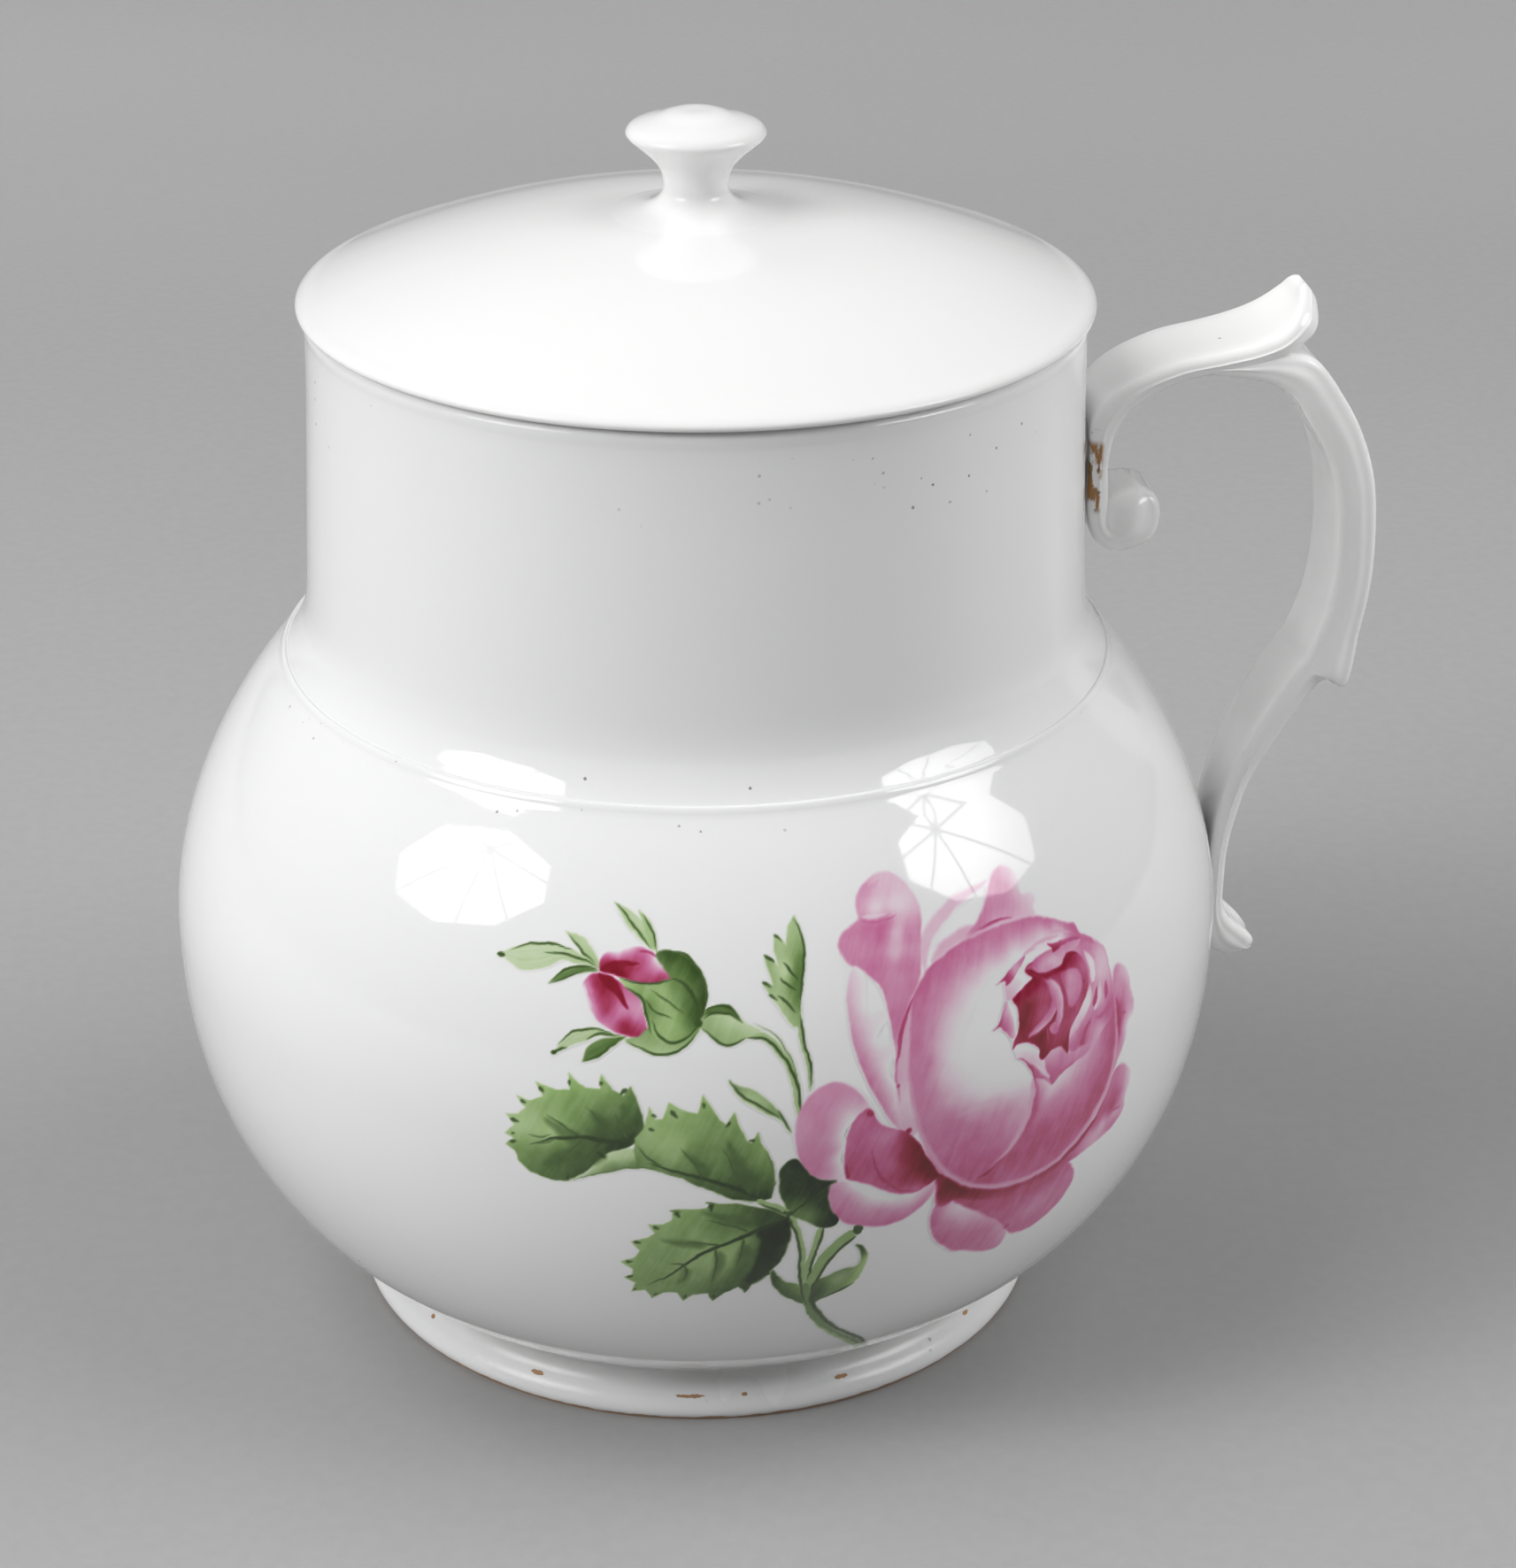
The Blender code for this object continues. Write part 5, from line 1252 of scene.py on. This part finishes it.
def make_enamel():
    """Lays the painting on the globe as sheets a hair proud of the glaze, one for each part of the spray."""
    canvas = paint_spray()
    heights = np.linspace(FOOT_HEIGHT, SHOULDER_Z, PROFILE_STEPS)
    radii = outer_radius(heights)
    along = np.concatenate([[0], np.cumsum(np.hypot(np.diff(heights), np.diff(radii)))])
    along -= np.interp(GLOBE_CENTRE_Z, heights, along)
    height = np.interp(canvas.v, along, heights)
    radius = outer_radius(height)
    lean = np.interp(height, heights, np.gradient(radii, heights))
    out = ENAMEL_RISE / np.hypot(1, lean)
    radius, height = (radius + out)[:, None], (height - out * lean)[:, None]
    angle = (canvas.u / GLOBE_RADIUS)[None, :]
    points = np.stack([radius * np.sin(angle), -radius * np.cos(angle), height + 0 * angle], -1).reshape(-1, 3) * MM
    number = np.arange(canvas.owner.size).reshape(canvas.owner.shape)
    corners = np.stack([number[:-1, :-1], number[:-1, 1:], number[1:, 1:], number[1:, :-1]], -1).reshape(-1, 4)
    painted = canvas.coats.sum(-1).ravel() > THINNEST_COAT
    owner = canvas.owner.ravel()[corners].max(1) * painted[corners].any(1)
    for sheet, name in ENAMELS.items():
        faces = corners[owner == sheet]
        used, index = np.unique(faces, return_inverse=True)
        mesh = bpy.data.meshes.new(name)
        mesh.from_pydata(points[used].tolist(), [], index.reshape(-1, 4).tolist())
        attribute = mesh.attributes.new("coats", "FLOAT_COLOR", "POINT")
        coats = np.ones((len(used), 4), np.float32)
        coats[:, :3] = canvas.coats.reshape(-1, 3)[used]
        attribute.data.foreach_set("color", coats.ravel())
        add_piece(name, mesh, enamel_material(name), "jar", [])


# ---------------------------------------------------------------- the handle

# Stations of each scroll: inner edge (x, z), outer edge (x, z), width along Y
UPPER_STATIONS = [
    ((73.4, 143.9), (75.2, 143.8), 9.6),
    ((71.0, 143.4), (77.0, 142.9), 12.2),
    ((69.0, 141.9), (77.9, 141.2), 13.6),
    ((68.0, 140.2), (78.1, 138.5), 14.2),
    ((67.9, 139.0), (77.0, 135.4), 14.4),
    ((68.1, 138.4), (74.0, 133.6), 14.4),
    ((68.5, 138.9), (70.0, 133.2), 14.2),
    ((69.0, 140.8), (66.6, 135.8), 14.0),
    ((69.0, 144.6), (65.4, 142.0), 14.4),
    ((68.7, 149.6), (65.4, 149.0), 15.5),
    ((69.9, 155.4), (65.4, 157.0), 17.0),
    ((73.6, 160.2), (69.6, 162.8), 18.5),
    ((80.0, 163.6), (78.0, 166.8), 19.5),
    ((87.0, 165.0), (86.6, 168.6), 20.0),
    ((93.0, 166.2), (92.4, 170.0), 20.5),
    ((98.0, 168.0), (96.6, 171.8), 20.0),
    ((102.6, 171.0), (99.4, 174.6), 16.0),
    ((103.4, 174.6), (100.6, 177.2), 10.0),
    ((102.8, 176.4), (101.6, 177.8), 6.0),
]
LOWER_STATIONS = [
    ((80.6, 164.6), (80.3, 166.1), 18.0),
    ((86.0, 164.5), (85.9, 167.0), 19.3),
    ((91.2, 163.6), (91.4, 167.8), 20.0),
    ((95.6, 162.4), (97.6, 168.0), 20.0),
    ((98.9, 160.2), (102.7, 166.4), 20.0),
    ((102.3, 155.0), (107.8, 159.8), 19.5),
    ((105.7, 149.2), (111.8, 152.4), 19.0),
    ((107.7, 142.6), (114.4, 143.8), 18.6),
    ((108.6, 134.2), (115.3, 133.6), 18.2),
    ((108.5, 126.7), (115.1, 124.6), 17.8),
    ((107.4, 119.6), (113.9, 116.4), 17.5),
    ((104.9, 112.8), (112.3, 106.8), 17.2),
    ((103.2, 110.4), (108.3, 107.9), 17.0),
    ((100.2, 105.6), (104.4, 103.0), 17.0),
    ((96.2, 98.0), (100.2, 96.2), 16.6),
    ((93.0, 90.4), (96.6, 89.4), 16.0),
    ((91.2, 83.0), (94.6, 82.4), 15.5),
    ((90.4, 76.0), (93.4, 75.6), 15.0),
    ((90.4, 69.0), (93.2, 69.2), 14.5),
    ((90.4, 64.0), (93.4, 65.2), 14.0),
    ((90.6, 59.6), (94.6, 62.0), 13.5),
    ((91.6, 56.2), (96.6, 59.8), 12.5),
    ((94.0, 54.1), (98.7, 57.8), 11.0),
    ((96.9, 53.4), (100.0, 56.1), 9.0),
    ((99.2, 53.9), (100.3, 54.9), 6.0),
]
STRAP_CORNER = 1.6
STRAP_HOLLOW = 0.15
STRAP_SWELL = 0.25
THICK_STRAP = 5.5
THICK_SWELL = 0.22
STRAP_STEPS = 8
CORNER_STEPS = 6
FACE_STEPS = 8


def strap_section(inner, outer, width):
    """A rounded rectangle whose wide faces dip a little along their middle. Its sides swell, most where it is thick."""
    across = outer - inner
    half_depth = np.linalg.norm(across) / 2
    half_width = width / 2
    swell = STRAP_SWELL + THICK_SWELL * max(0.0, 2 * half_depth - THICK_STRAP)
    corner = min(STRAP_CORNER, half_depth * 0.85)
    direction = across / (2 * half_depth)
    middle = (inner + outer) / 2
    points = []

    def add(out, side):
        points.append(Vector((middle[0] + direction[0] * out, side, middle[1] + direction[1] * out)) * MM)

    for quarter in range(4):
        side_out = 1 if quarter in (0, 3) else -1
        side_y = 1 if quarter in (0, 1) else -1
        for step in range(CORNER_STEPS + 1):
            angle = pi / 2 * (quarter + step / CORNER_STEPS)
            add(side_out * (half_depth - corner) + corner * cos(angle),
                side_y * (half_width - corner) + corner * sin(angle))
        flat = half_width - corner if quarter in (1, 3) else half_depth - corner
        for step in range(1, FACE_STEPS):
            part = step / FACE_STEPS
            dip = sin(pi * part) ** 2
            if quarter == 0:
                add(half_depth - corner - part * 2 * flat, half_width + swell * dip)
            elif quarter == 1:
                add(-half_depth + STRAP_HOLLOW * dip, half_width - corner - part * 2 * flat)
            elif quarter == 2:
                add(-(half_depth - corner) + part * 2 * flat, -half_width - swell * dip)
            else:
                add(half_depth - STRAP_HOLLOW * dip, -(half_width - corner) + part * 2 * flat)
    return points


def strap_mesh(name, stations):
    flat = [(*inner, *outer, width) for inner, outer, width in stations]
    bm = bmesh.new()
    rings = []
    for inner_x, inner_z, outer_x, outer_z, width in catmull(flat, STRAP_STEPS):
        section = strap_section(np.array((inner_x, inner_z)), np.array((outer_x, outer_z)), width)
        rings.append([bm.verts.new(p) for p in section])
    for ring, following in zip(rings, rings[1:]):
        for k in range(len(ring)):
            after = (k + 1) % len(ring)
            bm.faces.new((ring[k], ring[after], following[after], following[k]))
    for end in (rings[0], rings[-1]):
        centre = bm.verts.new(sum((v.co for v in end), Vector()) / len(end))
        for k in range(len(end)):
            bm.faces.new((end[k], end[(k + 1) % len(end)], centre))
    bmesh.ops.recalc_face_normals(bm, faces=bm.faces)
    return mesh_from(bm, name)


def handle_material():
    """Glaze, with an orange-brown stain where it has chipped along the join with the neck."""
    n = Nodes("handle_glaze")
    where = object_space(n)
    x, y, z = (axis(n, where, k) for k in range(3))
    patch = n.noise(n.add("ShaderNodeMapping", {"Vector": where, "Scale": (1.0, 0.4, 0.3)}).outputs[0], 700.0, 4.0)
    beside = band(n, x, 65.0 * MM, 66.9 * MM, 0.8 * MM)
    near = n.ramp(y, -6.4 * MM, -5.6 * MM, 1.0, 0.0)
    chip = n.times(n.times(band(n, z, 141.5 * MM, 152.5 * MM, 1.5 * MM), beside), near)
    stain = n.times(chip, n.ramp(patch, 0.44, 0.52))
    joint = n.times(n.times(band(n, z, 140.0 * MM, 155.0 * MM, 1.0 * MM), near),
                    band(n, x, 65.0 * MM, 67.2 * MM, 0.4 * MM))
    soot = n.times(joint, n.ramp(n.noise(where, 640.0, 4.0), 0.60, 0.68))
    spots = n.math("MAXIMUM", n.times(soot, 0.8), n.times(flecks(n, where, 160.0, 0.05, 0.06), 0.7))
    # The handle's glaze is painted lighter than the jar's, as painted light.
    colour = n.mix(stain, glaze_colour(n, where, HANDLE_WHITE_PAINTED_LIGHT, HANDLE_COOL_PAINTED_LIGHT), STAIN_BROWN)
    colour = n.mix(spots, colour, FLECK_AND_PAINTED_SHADE_DARK)
    return n.finish(glaze_shader(n, colour, where))


def make_handle():
    glaze = handle_material()
    for name, stations, node in (("upper_scroll", UPPER_STATIONS, "handle_upper_scroll"),
                                 ("lower_scroll", LOWER_STATIONS, "handle_lower_scroll")):
        add_piece(name, strap_mesh(name, stations), glaze, "jar", [node])


# ---------------------------------------------------------------- studio

# The paper's tone drifts between these two. It is painted lighter far back, as painted light, and darker in a band
# beside the jar, as the jar's painted shadow.
PAPER_DARK, PAPER_LIGHT = 0.349, 0.358
PAPER_MOTTLE = 0.015
FLOOR_SIZE = 3.0


def make_floor():
    n = Nodes("backdrop_paper")
    where = object_space(n)
    back = axis(n, where, 1)
    tone = n.ramp(n.noise(where, 3.0), 0.3, 0.7, PAPER_DARK, PAPER_LIGHT)
    # Painted light: the paper is lighter far back.
    tone = n.times(tone, n.ramp(back, 0.45, 0.95, 1.0, 1.24))
    tone = n.times(tone, n.ramp(n.noise(where, 320.0, 4.0), 0.3, 0.7, 1 - PAPER_MOTTLE, 1 + PAPER_MOTTLE))
    # Painted shadow of the jar, in a band beside it, deeper to the right.
    shade = n.times(band(n, back, 0.0, 0.05, 0.12), n.ramp(axis(n, where, 0), -0.1, 0.3, 0.08, 0.19))
    tone = n.times(tone, n.math("SUBTRACT", 1.0, shade))
    colour = n.add("ShaderNodeCombineColor", {0: tone, 1: tone, 2: tone}).outputs[0]
    grain = n.add("ShaderNodeBump", {"Height": n.noise(where, 1500.0, 2.0), "Strength": 0.05, "Distance": 0.0005})
    shader = n.add("ShaderNodeBsdfPrincipled", {"Base Color": colour, "Roughness": 0.85, "Specular IOR Level": 0.2,
                                                "Normal": grain.outputs["Normal"]})
    bm = bmesh.new()
    bmesh.ops.create_grid(bm, x_segments=8, y_segments=8, size=FLOOR_SIZE)
    floor = linked_object("floor", mesh_from(bm, "floor"), n.finish(shader))


LIGHT_TARGET = Vector((AXIS_X * MM, 0.0, 0.1))


def direction(azimuth, elevation):
    """The direction from the jar at an azimuth from straight in front, positive towards the handle, in degrees."""
    a, e = radians(azimuth), radians(elevation)
    return Vector((cos(e) * sin(a), -cos(e) * cos(a), sin(e)))


def aim(obj, azimuth, elevation, distance):
    """Puts an object in that direction and turns its local -Z back to the jar, with its local X level."""
    away = direction(azimuth, elevation)
    obj.location = LIGHT_TARGET + away * distance
    obj.rotation_mode = "QUATERNION"
    obj.rotation_quaternion = away.to_track_quat("Z", "Y")
    obj.visible_camera = False


def make_soft_light(name, azimuth, elevation, distance, size_x, size_y, power):
    """A light that fills the studio and shows in no reflection."""
    data = bpy.data.lights.new(name, "AREA")
    data.shape = "ELLIPSE"
    data.size, data.size_y = size_x, size_y
    data.energy = power
    light = bpy.data.objects.new(name, data)
    aim(light, azimuth, elevation, distance)
    light.visible_glossy = False
    bpy.context.scene.collection.objects.link(light)


# Shapes in metres at one metre away. The hub is off the outline's middle, since the umbrellas are seen from the side.
UMBRELLA_DISTANCE = 1.5
UMBRELLA_HALF_HEIGHT = 0.18
UMBRELLA_DROP = -0.12
UMBRELLA_LEAN = radians(22)
UMBRELLA_SIDES = 8


def umbrella_material(name, strength):
    """Lit cloth, fading from the hub outwards, with a darker rib on the way to each corner."""
    n = Nodes(name + "_cloth")
    where = object_space(n)
    distance = n.add("ShaderNodeVectorMath", {0: where}, operation="LENGTH").outputs["Value"]
    angle = n.math("ARCTAN2", axis(n, where, 1), axis(n, where, 0))
    rib = n.math("ABSOLUTE", n.math("SINE", n.times(angle, UMBRELLA_SIDES / 2)))
    rib = n.times(rib, distance)
    glow = n.ramp(distance, 0.15, 0.62, 1.0, 0.55)
    glow = n.times(glow, n.ramp(rib, 0.008, 0.045, 0.12, 1.0))
    emission = n.add("ShaderNodeEmission", {"Color": (1.0, 1.0, 1.0, 1.0), "Strength": n.times(glow, strength)})
    return n.finish(emission)


def make_umbrella(name, azimuth, elevation, strength, half_width, aside):
    """An eight-sided white umbrella seen a little from the side, so that its outline is an oval that leans outwards."""
    lean = UMBRELLA_LEAN if azimuth > 0 else -UMBRELLA_LEAN
    bm = bmesh.new()
    hub = bm.verts.new((0.0, 0.0, 0.0))
    rim = []
    for k in range(UMBRELLA_SIDES):
        angle = pi * (2 * k + 1) / UMBRELLA_SIDES
        x, y = half_width * cos(angle), UMBRELLA_HALF_HEIGHT * sin(angle)
        corner = (x * cos(lean) + y * sin(lean) + aside, y * cos(lean) - x * sin(lean) + UMBRELLA_DROP, 0.0)
        rim.append(bm.verts.new(Vector(corner) * UMBRELLA_DISTANCE))
    for k in range(UMBRELLA_SIDES):
        bm.faces.new((hub, rim[k], rim[(k + 1) % UMBRELLA_SIDES]))
    umbrella = linked_object(name, mesh_from(bm, name), umbrella_material(name, strength))
    aim(umbrella, azimuth, elevation, UMBRELLA_DISTANCE)


WORLD_STRENGTH = 0.184


def make_world():
    world = bpy.data.worlds.new("studio")
    world.use_nodes = True
    background = world.node_tree.nodes["Background"]
    background.inputs["Color"].default_value = (1.0, 1.0, 1.0, 1.0)
    background.inputs["Strength"].default_value = WORLD_STRENGTH
    bpy.context.scene.world = world


# Azimuth and elevation in degrees, strength, half the width, and how far the outline is aside of the hub
UMBRELLAS = {
    "umbrella_left": (-62.0, 35.9, 5.5, 0.335, -0.03),
    "umbrella_right": (59.3, 35.0, 6.4, 0.31, 0.09),
}
# Azimuth and elevation in degrees, distance, width and height in metres, and power in watts
SOFT_LIGHTS = {
    "left_high": (-75.0, 58.0, 1.5, 1.0, 0.8, 8.7),
    "left_side": (-100.0, 18.0, 1.5, 0.9, 0.8, 0.5),
    "left_front": (-68.0, 30.0, 1.2, 0.35, 0.5, 4.9),
    "right_high": (75.0, 58.0, 1.5, 1.0, 0.8, 5.3),
    "right_side": (100.0, 18.0, 1.5, 0.9, 0.8, 6.4),
    "back_left": (-150.0, 35.0, 1.6, 1.2, 0.9, 5.4),
    "back_right": (150.0, 35.0, 1.6, 1.2, 0.9, 1.3),
}


def make_studio():
    make_floor()
    for name, numbers in UMBRELLAS.items():
        make_umbrella(name, *numbers)
    for name, numbers in SOFT_LIGHTS.items():
        make_soft_light(name, *numbers)
    make_world()


# ---------------------------------------------------------------- the scene

make_camera()
make_globe()
make_neck()
make_foot()
make_dome()
make_ring()
make_knob()
make_handle()
make_enamel()
make_studio()
bpy.context.scene.view_settings.view_transform = "Standard"
